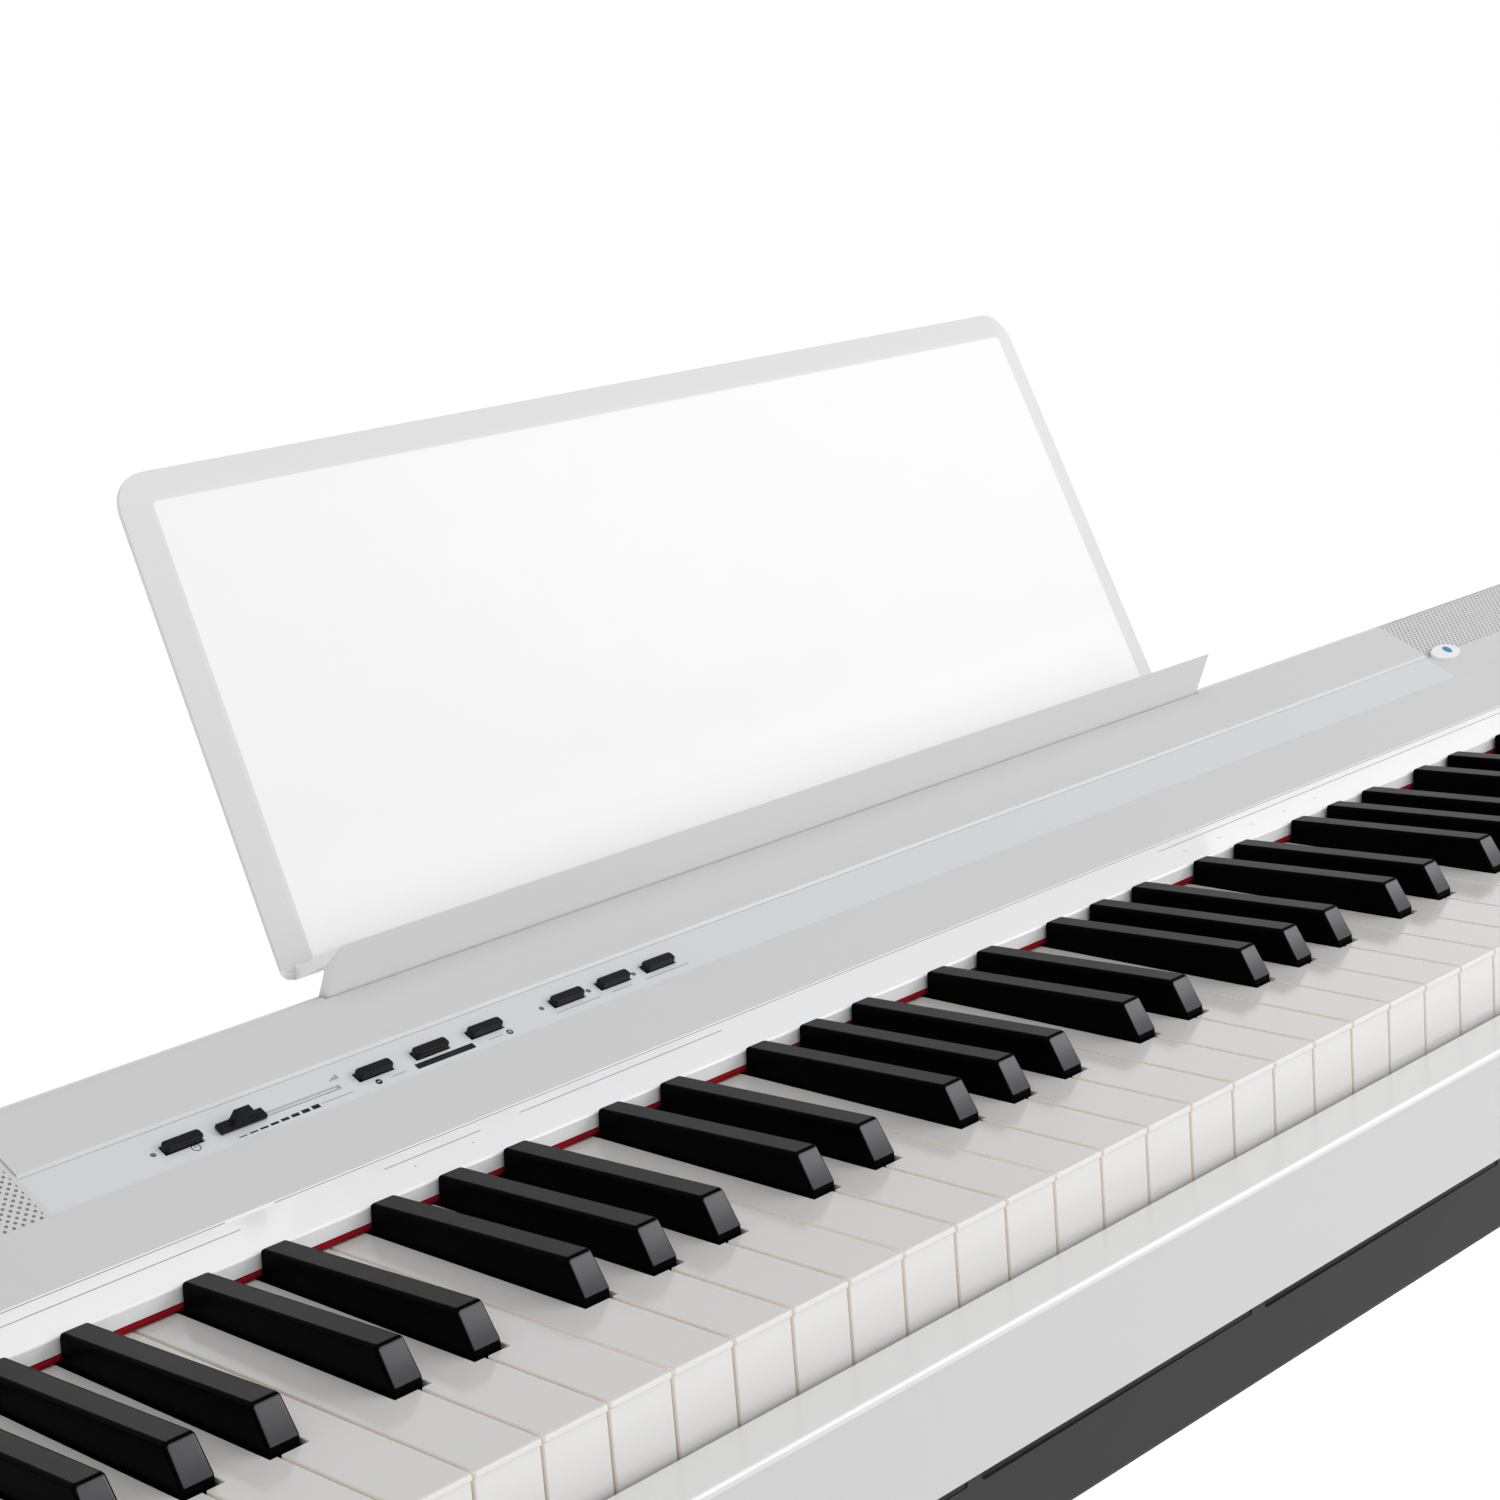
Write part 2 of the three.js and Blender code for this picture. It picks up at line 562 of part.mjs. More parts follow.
// A steel angle under the case on each side, with two knob bolts up into the case.
function bracketAndKnobs(name, side, top) {
  const face = SIDE_INNER - FIT;
  const under = box(mirrored([560, face], side), [45, 204], [top - BRACKET_STEEL, top]);
  const down = box(mirrored([face - BRACKET_STEEL, face], side), [45, 204], [top - 45, top - 1]);
  const holes = KNOB_Y.map((y) => post(side * KNOB_X, y, [top - 10, top + 5], 3.5));
  part(`stand_bracket_${name}`, cut(join([under, down]), holes), steel);
  const seat = top - BRACKET_STEEL - FIT;
  KNOB_Y.forEach((y, i) => {
    const shape = corners([[0, -16], [12, -16], [14, -13], [14, -3], [12, 0], [3, 0], [3, 16], [0, 16]]);
    const knob = new THREE.LatheGeometry(shape, 12).rotateX(Math.PI / 2);
    const place = i === 0 ? "front" : "rear";
    part(`knob_bolt_${place}_${name}`, knob.translate(side * KNOB_X, y, seat), blackShell);
  });
}

middleOctave();
keyCombs();
keybed();
upperCase();
jackPanel();
frontRail();
endBlocks();
lowerCase();
mainBoard();
feltStrip();
controlStrip();
buttons();
slider();
buttonBoard();
speakers();
musicRest();
stand();

// Set on the floor, with the middle of its footprint on the origin.
const bounds = new THREE.Box3().setFromObject(assembly);
const middle = bounds.getCenter(new THREE.Vector3());
assembly.position.set(-middle.x, -middle.y, -bounds.min.z);

const root = new THREE.Group();
root.add(assembly);
export default root;
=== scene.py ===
"""An 88-key digital piano in a white case with a music rest, on a white four-board stand.

Positions are in millimetres of the keyboard: right of the case's middle, behind the fronts of
the white keys and above their tops. at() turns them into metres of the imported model's frame.
"""

import math

import bmesh
import bpy
from mathutils import Matrix, Vector


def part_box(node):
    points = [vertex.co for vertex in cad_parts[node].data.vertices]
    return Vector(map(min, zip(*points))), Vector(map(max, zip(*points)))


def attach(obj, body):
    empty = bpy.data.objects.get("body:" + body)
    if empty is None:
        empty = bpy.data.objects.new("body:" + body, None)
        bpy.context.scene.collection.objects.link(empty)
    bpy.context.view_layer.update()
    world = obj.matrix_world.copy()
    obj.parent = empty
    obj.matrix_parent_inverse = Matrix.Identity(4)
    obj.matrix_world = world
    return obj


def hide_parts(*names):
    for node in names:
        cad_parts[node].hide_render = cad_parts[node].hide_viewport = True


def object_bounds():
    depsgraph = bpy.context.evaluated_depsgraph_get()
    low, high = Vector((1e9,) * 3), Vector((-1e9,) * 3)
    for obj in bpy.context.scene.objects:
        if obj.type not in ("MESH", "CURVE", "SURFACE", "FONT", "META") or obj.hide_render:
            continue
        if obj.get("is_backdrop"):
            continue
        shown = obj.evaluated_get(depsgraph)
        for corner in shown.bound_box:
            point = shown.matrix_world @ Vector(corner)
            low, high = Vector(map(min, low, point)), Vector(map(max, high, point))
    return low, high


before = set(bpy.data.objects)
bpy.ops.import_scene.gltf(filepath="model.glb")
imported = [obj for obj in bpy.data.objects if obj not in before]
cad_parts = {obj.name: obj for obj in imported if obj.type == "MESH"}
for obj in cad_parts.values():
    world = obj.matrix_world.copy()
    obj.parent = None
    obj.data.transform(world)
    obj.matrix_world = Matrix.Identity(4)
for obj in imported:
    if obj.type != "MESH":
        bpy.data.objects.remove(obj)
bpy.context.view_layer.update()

# ---------------------------------------------------------------------------------------------
# Camera: a long lens at the player's left, a little above the keys. It looks across them to the
# right, and it is slightly rolled.

MM = 0.001
key_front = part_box("key_c4")[0].y
key_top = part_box("key_c4")[1].z


def at(x, y, z):
    """A point in keyboard millimetres as metres of the model's frame."""
    return Vector((x * MM, key_front + y * MM, key_top + z * MM))


def in_mm(point):
    """A point of the model's frame in keyboard millimetres."""
    return Vector((point.x, point.y - key_front, point.z - key_top)) / MM


camera_turn = math.radians(45.16)
camera_drop = math.radians(13.37)
camera_roll = math.radians(-4.51)
look = Vector((
    math.sin(camera_turn) * math.cos(camera_drop),
    math.cos(camera_turn) * math.cos(camera_drop),
    -math.sin(camera_drop),
))
level = look.cross(Vector((0, 0, 1))).normalized()
right = Matrix.Rotation(-camera_roll, 3, look) @ level
upward = right.cross(look)
bpy.ops.object.camera_add()
camera = bpy.context.object
camera.name = "camera"
camera.matrix_world = Matrix.Translation(at(-825.9, -541.2, 342.0)) @ Matrix(
    (right, upward, -look)
).transposed().to_4x4()
camera.data.sensor_width = 36
camera.data.lens = 71.46
camera.data.clip_start = 0.05
camera.data.clip_end = 200
bpy.context.scene.camera = camera

# ---------------------------------------------------------------------------------------------
# Studio: a pale floor, a white surround that is brightest at the horizon, and three soft boxes,
# at the front right, overhead and in front.


class Wire:
    """A node's output; arithmetic on it adds Math nodes to the same finish."""

    def __init__(self, tree, socket=None):
        self.tree = tree
        self.socket = socket

    def node(self, kind, settings, values, output=0):
        made = self.tree.nodes.new("ShaderNode" + kind)
        for name, setting in settings.items():
            if name == "stops":
                ramp = made.color_ramp
                while len(ramp.elements) < len(setting):
                    ramp.elements.new(0.5)
                for element, (place, shade) in zip(ramp.elements, setting):
                    element.position = place
                    element.color = (shade, shade, shade, 1)
            else:
                setattr(made, name, setting)
        for name, value in values.items():
            if isinstance(value, Wire):
                self.tree.links.new(value.socket, made.inputs[name])
            else:
                made.inputs[name].default_value = value
        return Wire(self.tree, made.outputs[output])

    def maths(self, operation, other):
        return self.node("Math", {"operation": operation}, {0: self, 1: other})

    def __add__(self, other):
        return self.maths("ADD", other)

    def __mul__(self, other):
        return self.maths("MULTIPLY", other)

    __radd__ = __add__
    __rmul__ = __mul__


world = bpy.data.worlds.new("studio")
bpy.context.scene.world = world
world.use_nodes = True
surround = world.node_tree.nodes["Background"]
sky = Wire(world.node_tree)
direction = sky.node("TexCoord", {}, {}, "Generated")
height = sky.node("SeparateXYZ", {}, {0: direction}, "Z")
brightness = sky.node(
    "ValToRGB",
    {"stops": [(0.0, 0.70), (0.45, 0.95), (0.49, 1.0), (0.62, 1.0), (0.76, 0.50), (1.0, 0.42)]},
    {0: height * 0.5 + 0.5},
)
world.node_tree.links.new(brightness.socket, surround.inputs["Color"])
surround.inputs["Strength"].default_value = 1.25

FLOOR_RADIUS = 30
FLOOR_DROP = 0.0005
bpy.ops.mesh.primitive_circle_add(
    vertices=96, radius=FLOOR_RADIUS, fill_type="NGON", location=(0, 0, -FLOOR_DROP)
)
floor = bpy.context.object
floor.name = "studio_floor"
floor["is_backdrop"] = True
pale = bpy.data.materials.new("pale_floor")
pale.use_nodes = True
pale_shader = pale.node_tree.nodes["Principled BSDF"]
pale_shader.inputs["Base Color"].default_value = (0.86, 0.86, 0.86, 1)
pale_shader.inputs["Roughness"].default_value = 0.9
pale_shader.inputs["Emission Color"].default_value = (1, 1, 1, 1)
pale_shader.inputs["Emission Strength"].default_value = 0.42
floor.data.materials.append(pale)


def softbox(name, place, aim, width, tall, power):
    """A rectangular lamp that faces the point it is aimed at; sizes in metres, power in watts."""
    bpy.ops.object.light_add(type="AREA", location=place)
    lamp = bpy.context.object
    lamp.name = name
    lamp.data.shape = "RECTANGLE"
    lamp.data.size = width
    lamp.data.size_y = tall
    lamp.data.energy = power
    lamp.rotation_euler = (Vector(aim) - Vector(place)).to_track_quat("-Z", "Y").to_euler()


softbox("front_right_box", (1.9, -1.75, 1.95), (0.0, -0.05, 0.75), 1.9, 1.3, 26)
softbox("overhead_box", (-0.3, -0.6, 3.0), (0.0, 0.0, 0.75), 2.4, 1.6, 14)
softbox("front_box", (0.3, -2.6, 2.3), (0.0, 0.0, 0.8), 2.6, 1.3, 6)

scene = bpy.context.scene
scene.view_settings.view_transform = "Standard"
scene.view_settings.look = "None"
scene.cycles.use_denoising = True
scene.cycles.max_bounces = 8
scene.cycles.caustics_reflective = False
scene.cycles.caustics_refractive = False

# ---------------------------------------------------------------------------------------------
# Lower case: a black moulded tray with finger pockets along its front edge and rubber feet,
# screwed up into the keybed. Its plastic has a fine spark-eroded grain.


def surface(name, colour, roughness, specular=0.5, metallic=0.0, tint=0.02, smear=0.06,
            grain=0.02, grain_scale=2500.0, patch_scale=14.0, stretch=(1, 1, 1)):
    """A finish with clouded colour, uneven gloss and a moulded grain, all on object coordinates."""
    material = bpy.data.materials.new(name)
    material.use_nodes = True
    shader = material.node_tree.nodes["Principled BSDF"]
    made = Wire(material.node_tree)
    place = made.node("TexCoord", {}, {}, "Object")
    place = made.node("Mapping", {}, {"Vector": place, "Scale": stretch})
    clouds = made.node("TexNoise", {}, {"Vector": place, "Scale": patch_scale, "Detail": 4.0})
    smears = made.node("TexNoise", {}, {"Vector": place, "Scale": patch_scale * 3.7, "Detail": 6.0})
    grains = made.node("TexNoise", {}, {"Vector": place, "Scale": grain_scale, "Detail": 2.0})
    darker = tuple(c * (1 - tint) for c in colour) + (1.0,)
    lighter = tuple(min(1.0, c * (1 + tint)) for c in colour) + (1.0,)
    shade = made.node(
        "Mix", {"data_type": "RGBA"}, {0: clouds * 0.8 + grains * 0.2, 6: darker, 7: lighter}, 2
    )
    gloss = smears * smear + (roughness - smear / 2)
    bump = made.node("Bump", {}, {"Height": grains, "Distance": grain * MM, "Strength": 0.5})
    for socket, wire in (("Base Color", shade), ("Roughness", gloss), ("Normal", bump)):
        material.node_tree.links.new(wire.socket, shader.inputs[socket])
    shader.inputs["Specular IOR Level"].default_value = specular
    shader.inputs["Metallic"].default_value = metallic
    return material


def begin(piece):
    """Opens a piece in edit mode with nothing of it selected."""
    bpy.ops.object.select_all(action="DESELECT")
    bpy.context.view_layer.objects.active = piece
    piece.select_set(True)
    bpy.ops.object.mode_set(mode="EDIT")
    bpy.ops.mesh.select_all(action="DESELECT")


def close():
    """Leaves edit mode."""
    bpy.ops.object.mode_set(mode="OBJECT")


def pick_faces(piece, test):
    """Selects the faces whose middle, in keyboard millimetres, and normal pass the test."""
    bpy.ops.mesh.select_mode(type="FACE")
    mesh = bmesh.from_edit_mesh(piece.data)
    for face in mesh.faces:
        face.select_set(bool(test(in_mm(face.calc_center_median()), face.normal)))
    bmesh.update_edit_mesh(piece.data)


def pick_edges(piece, test):
    """Selects the edges both of whose ends, in keyboard millimetres, pass the test."""
    bpy.ops.mesh.select_mode(type="EDGE")
    mesh = bmesh.from_edit_mesh(piece.data)
    for edge in mesh.edges:
        edge.select_set(all(test(in_mm(corner.co)) for corner in edge.verts))
    bmesh.update_edit_mesh(piece.data)


def settle(piece):
    """Puts a piece's place into its mesh."""
    bpy.ops.object.select_all(action="DESELECT")
    bpy.context.view_layer.objects.active = piece
    piece.select_set(True)
    bpy.ops.object.transform_apply(location=True, rotation=True, scale=True)


def block(name, across, back, up):
    """A block that spans these three ranges of keyboard millimetres."""
    spans = (across, back, up)
    middle = at(*((low + high) / 2 for low, high in spans))
    size = [(high - low) * MM for low, high in spans]
    bpy.ops.mesh.primitive_cube_add(size=1, location=middle, scale=size)
    piece = bpy.context.object
    piece.name = piece.data.name = name
    settle(piece)
    return piece


def apply_modifier(piece, kind, **settings):
    """Adds a modifier to a piece and applies it."""
    bpy.context.view_layer.objects.active = piece
    modifier = piece.modifiers.new(kind.lower(), kind)
    for name, value in settings.items():
        setattr(modifier, name, value)
    bpy.ops.object.modifier_apply(modifier=modifier.name)


def soften(piece, radius, segments=2, sharp=35):
    """Makes each flat face one, rounds a piece's sharp edges and shades it smooth."""
    begin(piece)
    bpy.ops.mesh.select_all(action="SELECT")
    bpy.ops.mesh.dissolve_limited(angle_limit=math.radians(0.5))
    close()
    if radius:
        apply_modifier(
            piece, "BEVEL", width=radius * MM, segments=segments, limit_method="ANGLE",
            angle_limit=math.radians(sharp), use_clamp_overlap=True, harden_normals=False,
        )
    bpy.ops.object.select_all(action="DESELECT")
    bpy.context.view_layer.objects.active = piece
    piece.select_set(True)
    bpy.ops.object.shade_smooth_by_angle(angle=math.radians(sharp))
    apply_modifier(piece, "WEIGHTED_NORMAL", keep_sharp=True, weight=80)


def carve(piece, tools, operation="DIFFERENCE"):
    """Cuts the tools out of a piece, or joins them to it, and takes them away."""
    for tool in tools:
        apply_modifier(piece, "BOOLEAN", object=tool, operation=operation, solver="EXACT")
        bpy.data.objects.remove(tool)


def solid_of(node, name):
    """A welded copy of a CAD node's solid as a new piece."""
    piece = bpy.data.objects.new(name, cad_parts[node].data.copy())
    piece.data.name = name
    piece.data.materials.clear()
    bpy.context.scene.collection.objects.link(piece)
    begin(piece)
    bpy.ops.mesh.select_all(action="SELECT")
    bpy.ops.mesh.remove_doubles(threshold=0.000002)
    bpy.ops.mesh.customdata_custom_splitnormals_clear()
    close()
    return piece


def wear(piece, material, body, nodes=()):
    """Gives a piece its finish and says what it moves with and stands for."""
    if not piece.data.materials:
        piece.data.materials.append(material)
    else:
        piece.data.materials[0] = material
    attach(piece, body)
    if nodes:
        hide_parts(*nodes)


def second_finish(piece, material, test):
    """Gives the faces that pass the test another finish."""
    piece.data.materials.append(material)
    number = len(piece.data.materials) - 1
    for face in piece.data.polygons:
        if test(in_mm(face.center), face.normal):
            face.material_index = number


CASE = "case_and_stand"
POCKETS = [
    (-520, -380), (-375, -236), (-229.5, -93), (-85.6, 60), (67, 210), (217, 360), (367, 510),
]
POCKET_BACK = (-26, -18)
POCKET_FLOOR = -69
POCKET_OPEN = -60
FEET_TOP = -95.3
black_shell = surface(
    "black_case_plastic", (0.024, 0.024, 0.025), 0.60, specular=0.22, tint=0.10, grain=0.05,
    grain_scale=900.0, smear=0.08,
)
foot_rubber = surface("foot_rubber", (0.03, 0.03, 0.031), 0.8, specular=0.3, grain=0.05)
lower_case = solid_of("lower_case", "lower_case_tray")
pockets = []
for start, end in POCKETS:
    pocket = block("pocket_tool", (start, end), POCKET_BACK, (POCKET_FLOOR, POCKET_OPEN))
    begin(pocket)
    pick_edges(pocket, lambda p, x=end: p.z < POCKET_FLOOR + 1 and p.x > x - 1)
    bpy.ops.transform.translate(value=(0, -0.9 * MM, 0.8 * MM))
    pick_edges(pocket, lambda p, x=start: p.z < POCKET_FLOOR + 1 and p.x < x + 1)
    bpy.ops.mesh.bevel(offset=1.5 * MM, segments=3, affect="EDGES")
    close()
    pockets.append(pocket)
carve(lower_case, pockets)
soften(lower_case, 0.5, 2)
wear(lower_case, black_shell, CASE, ["lower_case"])
second_finish(lower_case, foot_rubber, lambda p, n: p.z < FEET_TOP)

# ---------------------------------------------------------------------------------------------
# Keybed: a folded steel chassis with two ridges that the keys rock on, the rubber contact strip
# on its circuit board, and a felt strip that stops the keys.

brushed_steel = surface(
    "zinc_plated_steel", (0.60, 0.61, 0.62), 0.38, metallic=1.0, tint=0.05, smear=0.16,
    grain=0.01, grain_scale=700.0, stretch=(0.08, 1, 1),
)
grey_felt = surface("grey_felt", (0.18, 0.18, 0.19), 0.95, specular=0.1, tint=0.25, grain=0.25,
                    grain_scale=1800.0, stretch=(1, 0.4, 1))
circuit = surface("solder_mask", (0.012, 0.10, 0.045), 0.42, tint=0.12, grain=0.02,
                  grain_scale=1500.0)
contact_rubber = surface("contact_rubber", (0.045, 0.045, 0.048), 0.75, specular=0.3)


def repaint(node, material):
    """Gives a CAD node that stays in view its real finish."""
    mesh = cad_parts[node].data
    mesh.materials.clear()
    mesh.materials.append(material)


for node, material in (
    ("keybed_frame", brushed_steel),
    ("key_stop_felt", grey_felt),
    ("key_contact_board", circuit),
    ("key_contact_rubber", contact_rubber),
    ("slider_potentiometer", brushed_steel),
):
    repaint(node, material)

# ---------------------------------------------------------------------------------------------
# White keys: glossy moulded naturals. A thin top plate stands proud of the front, and the head
# is notched for the neighbouring black keys. Most are teeth of a comb with a common spine.

PITCH = 23.5
KEY_GAP = 1.1
WHITES = 52
MIDDLE_C = 23
KEYS_HALF = WHITES * PITCH / 2
KEY_BED = 11
SKIRT = 28
NOTCH_Y = 48.9
NOTCH_HALF = 6.3
TAIL_END = 224
PLATE = 2.2
LIP = 0.7
FRONT_WALL = 3
EDGE_ROUNDING = 0.9
SPINE_BACK = (201, TAIL_END - 1)
SPINE_UP = (-10, -2)
BLACK_OFFSETS = (21.22, 49.28, 90.58, 117.5, 144.43)


def octave_left(octave):
    """The left side of an octave's C."""
    return -KEYS_HALF + (2 + 7 * (octave - 1)) * PITCH


def black_middles():
    """Where the middles of all 36 black keys are, from the left."""
    whole = [octave_left(n) + offset for n in range(1, 8) for offset in BLACK_OFFSETS]
    return [octave_left(0) + BLACK_OFFSETS[4]] + whole


def white_outline(number):
    """The left and right sides of a white key's head and tail."""
    left = -KEYS_HALF + number * PITCH + KEY_GAP / 2
    right_side = left + PITCH - KEY_GAP
    near = [x for x in black_middles() if left < x + NOTCH_HALF and x - NOTCH_HALF < right_side]
    middle = (left + right_side) / 2
    tail_left = max([left] + [x + NOTCH_HALF for x in near if x < middle])
    tail_right = min([right_side] + [x - NOTCH_HALF for x in near if x > middle])
    return left, right_side, tail_left, tail_right


def bisect(point, normal):
    """Cuts new edges all round a piece, in the plane through a point."""
    bpy.ops.mesh.select_all(action="SELECT")
    bpy.ops.mesh.bisect(plane_co=point, plane_no=normal)


def pull(x, y, z):
    """Extrudes what is selected by these millimetres."""
    bpy.ops.mesh.extrude_region_move(
        TRANSFORM_OT_translate={"value": (x * MM, y * MM, z * MM)}
    )


def white_key(left, right_side, tail_left, tail_right):
    """A white key: its plate, then its tail, the body under the plate and the wall in front."""
    key = block("white_key", (left, right_side), (0, NOTCH_Y), (-PLATE, 0))
    begin(key)
    for x in (tail_left, tail_right):
        if left < x < right_side:
            bisect(at(x, 0, 0), (1, 0, 0))
    for y in (LIP, LIP + FRONT_WALL):
        bisect(at(0, y, 0), (0, 1, 0))
    pick_faces(key, lambda p, n: n.y > 0.9 and tail_left < p.x < tail_right)
    pull(0, TAIL_END - NOTCH_Y, 0)
    pick_faces(key, lambda p, n: n.z < -0.9 and p.y > LIP)
    pull(0, 0, PLATE - KEY_BED)
    pick_faces(key, lambda p, n: n.z < -0.9 and LIP < p.y < LIP + FRONT_WALL)
    pull(0, 0, KEY_BED - SKIRT)
    bpy.ops.mesh.select_all(action="SELECT")
    bpy.ops.mesh.dissolve_limited(angle_limit=math.radians(0.5))
    pick_edges(key, lambda p: p.y < 0.01 and p.z > -0.01)
    bpy.ops.mesh.bevel(offset=EDGE_ROUNDING * MM, segments=3, affect="EDGES")
    close()
    soften(key, 0.4, 3)
    return key


def copy_of(piece, name, shift=(0, 0, 0)):
    """A copy with its own mesh, moved by millimetres."""
    twin = bpy.data.objects.new(name, piece.data.copy())
    twin.data.name = name
    twin.data.transform(Matrix.Translation(Vector(shift) * MM))
    bpy.context.scene.collection.objects.link(twin)
    return twin


def join(pieces, name):
    """Makes several pieces one mesh."""
    bpy.ops.object.select_all(action="DESELECT")
    for piece in pieces:
        piece.select_set(True)
    bpy.context.view_layer.objects.active = pieces[0]
    bpy.ops.object.join()
    whole = bpy.context.object
    whole.name = whole.data.name = name
    return whole


key_acrylic = surface(
    "natural_key_plastic", (0.570, 0.562, 0.545), 0.13, specular=0.4, tint=0.008, grain=0.001,
    grain_scale=600.0, smear=0.05, patch_scale=9.0,
)
# The sides are the keys' uncoated beige, made much lighter as painted light so that the deep gaps
# between keys do not fall into shade.
key_flank_painted_light = surface("natural_key_flank_painted_light", (0.90, 0.84, 0.75), 0.5, tint=0.02, grain=0.001)
# The front is a lighter copy of the key plastic: painted light where the fronts face the lamps.
key_front_painted_light = surface("natural_key_front_painted_light", (0.64, 0.635, 0.62), 0.2, specular=0.4, tint=0.008,
                   grain=0.001)
models = {}


def natural(number, name):
    """The white key with this number from the left; keys of one outline share a model."""
    outline = white_outline(number)
    left = outline[0]
    kind = tuple(round(x - left, 2) for x in outline)
    if kind not in models:
        models[kind] = (left, white_key(*outline))
    first_left, model = models[kind]
    return copy_of(model, name, (left - first_left, 0, 0))


def flanks(piece):
    """Lightens a white key's beige uncoated sides and its front, as painted light."""
    second_finish(piece, key_flank_painted_light, lambda p, n: abs(n.x) > 0.9)
    second_finish(piece, key_front_painted_light, lambda p, n: n.y < -0.9 and p.y < 5)


for i, letter in enumerate("cdefgab"):
    key = natural(MIDDLE_C + i, f"natural_{letter}4")
    wear(key, key_acrylic, f"key_{letter}4", [f"key_{letter}4"])
    flanks(key)
for node, first, count in (
    ("white_keys_a0_to_b1", 0, 9),
    ("white_keys_c2_to_b3", 9, 14),
    ("white_keys_c5_to_b6", 30, 14),
    ("white_keys_c7_to_c8", 44, 8),
):
    teeth = [natural(first + i, "tooth") for i in range(count)]
    comb = join(teeth, node.replace("white_keys", "naturals"))
    low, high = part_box(node)
    spine = block("spine", (low.x / MM + 2, high.x / MM - 2), SPINE_BACK, SPINE_UP)
    carve(comb, [spine], "UNION")
    wear(comb, key_acrylic, node, [node])
    flanks(comb)
for first_left, model in models.values():
    bpy.data.objects.remove(model)

# ---------------------------------------------------------------------------------------------
# Black keys: satin black mouldings with rounded edges, an upright foot, a slanted front and a
# top that falls towards the case. A thin tail and a heel carry each key to its pivot.

SHARP_FRONT = 50.6
SHARP_BACK = 145.6
SHARP_FOOT_Z = 2.0
SHARP_CREST = (57.0, 12.6)
SHARP_BACK_Z = 9.2
SHARP_HALF = 5.3
SHARP_ROUNDING = 1.25
SHARP_TAIL_HALF = 4.9
SHARP_TAIL_END = 196
SHARP_HEEL = (172, 195.9)
SHARP_HEEL_Z = -22
SHARP_SPINE_BACK = (174, 194)
SHARP_SPINE_UP = (-21, -15)
# Three copies of one black plastic, set by which way a face looks: the sides darkest and almost
# unreflecting as painted shade, the slanted front lighter and more reflective as a painted sheen,
# and the top between them.
sharp_top = surface(
    "sharp_key_top", (0.010, 0.010, 0.011), 0.44, specular=0.13, tint=0.2, grain=0.012,
    grain_scale=2200.0, smear=0.08,
)
sharp_front_painted_sheen = surface(
    "sharp_key_front_painted_sheen", (0.018, 0.018, 0.024), 0.36, specular=0.52, tint=0.2, grain=0.015,
    grain_scale=2200.0, smear=0.08,
)
sharp_side_painted_shade = surface(
    "sharp_key_side_painted_shade", (0.001, 0.001, 0.001), 0.35, specular=0.015, tint=0.2, grain=0.002,
)


def black_key():
    """A black key's body: its foot, raised and drawn back to the crest, then rounded."""
    key = block(
        "black_key", (-SHARP_HALF, SHARP_HALF), (SHARP_FRONT, SHARP_BACK), (-KEY_BED, SHARP_FOOT_Z)
    )
    begin(key)
    pick_faces(key, lambda p, n: n.z > 0.9)
    pull(0, 0, SHARP_BACK_Z - SHARP_FOOT_Z)
    pick_edges(key, lambda p: p.z > SHARP_FOOT_Z + 1 and p.y < SHARP_FRONT + 1)
    rise = SHARP_CREST[1] - SHARP_BACK_Z
    bpy.ops.transform.translate(value=(0, (SHARP_CREST[0] - SHARP_FRONT) * MM, rise * MM))
    pick_faces(key, lambda p, n: n.z > 0.9 and p.z > SHARP_FOOT_Z + 1)
    bpy.ops.transform.resize(value=(0.93, 1, 1))
    close()
    apply_modifier(
        key, "BEVEL", width=SHARP_ROUNDING * MM, segments=4, limit_method="ANGLE",
        angle_limit=math.radians(32),
    )
    return key


sharp = black_key()
tail = block(
    "tail", (-SHARP_TAIL_HALF, SHARP_TAIL_HALF), (SHARP_BACK - 4, SHARP_TAIL_END),
    (-KEY_BED + 0.3, -1),
)
heel = block("heel", (-4.8, 4.8), SHARP_HEEL, (SHARP_HEEL_Z, -KEY_BED + 1))
carve(sharp, [tail, heel], "UNION")
# The faces that take the top's copy and the front's painted sheen; all other faces keep the sides'
# painted shade.
painted_shading_zones = (
    (sharp_top, lambda p, n: n.z > 0.985 and p.z > 8),
    (sharp_front_painted_sheen, lambda p, n: -0.95 < n.y < -0.74 and 0.2 < n.z < 0.66 and abs(n.x) < 0.3),
)


def sharp_key(piece, body):
    """Finishes a black key, or a comb of them, which moves as the node of the same name, with
    painted shade and sheen.
    """
    soften(piece, 0.0)
    wear(piece, sharp_side_painted_shade, body, [body])
    for material, test in painted_shading_zones:
        second_finish(piece, material, test)


for letter, offset in zip("cdfga", BLACK_OFFSETS):
    piece = copy_of(sharp, f"sharp_{letter}4", (octave_left(4) + offset, 0, 0))
    sharp_key(piece, f"key_{letter}_sharp4")
middles = black_middles()
for node, first, last in (
    ("black_keys_a0_to_a1", 0, 6),
    ("black_keys_c2_to_a3", 6, 16),
    ("black_keys_c5_to_a6", 21, 31),
    ("black_keys_c7_to_a7", 31, 36),
):
    teeth = [copy_of(sharp, "tooth", (x, 0, 0)) for x in middles[first:last]]
    comb = join(teeth, node.replace("black_keys", "sharps"))
    low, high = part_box(node)
    spine = block("spine", (low.x / MM + 2, high.x / MM - 2), SHARP_SPINE_BACK, SHARP_SPINE_UP)
    carve(comb, [spine], "UNION")
    sharp_key(comb, node)
bpy.data.objects.remove(sharp)
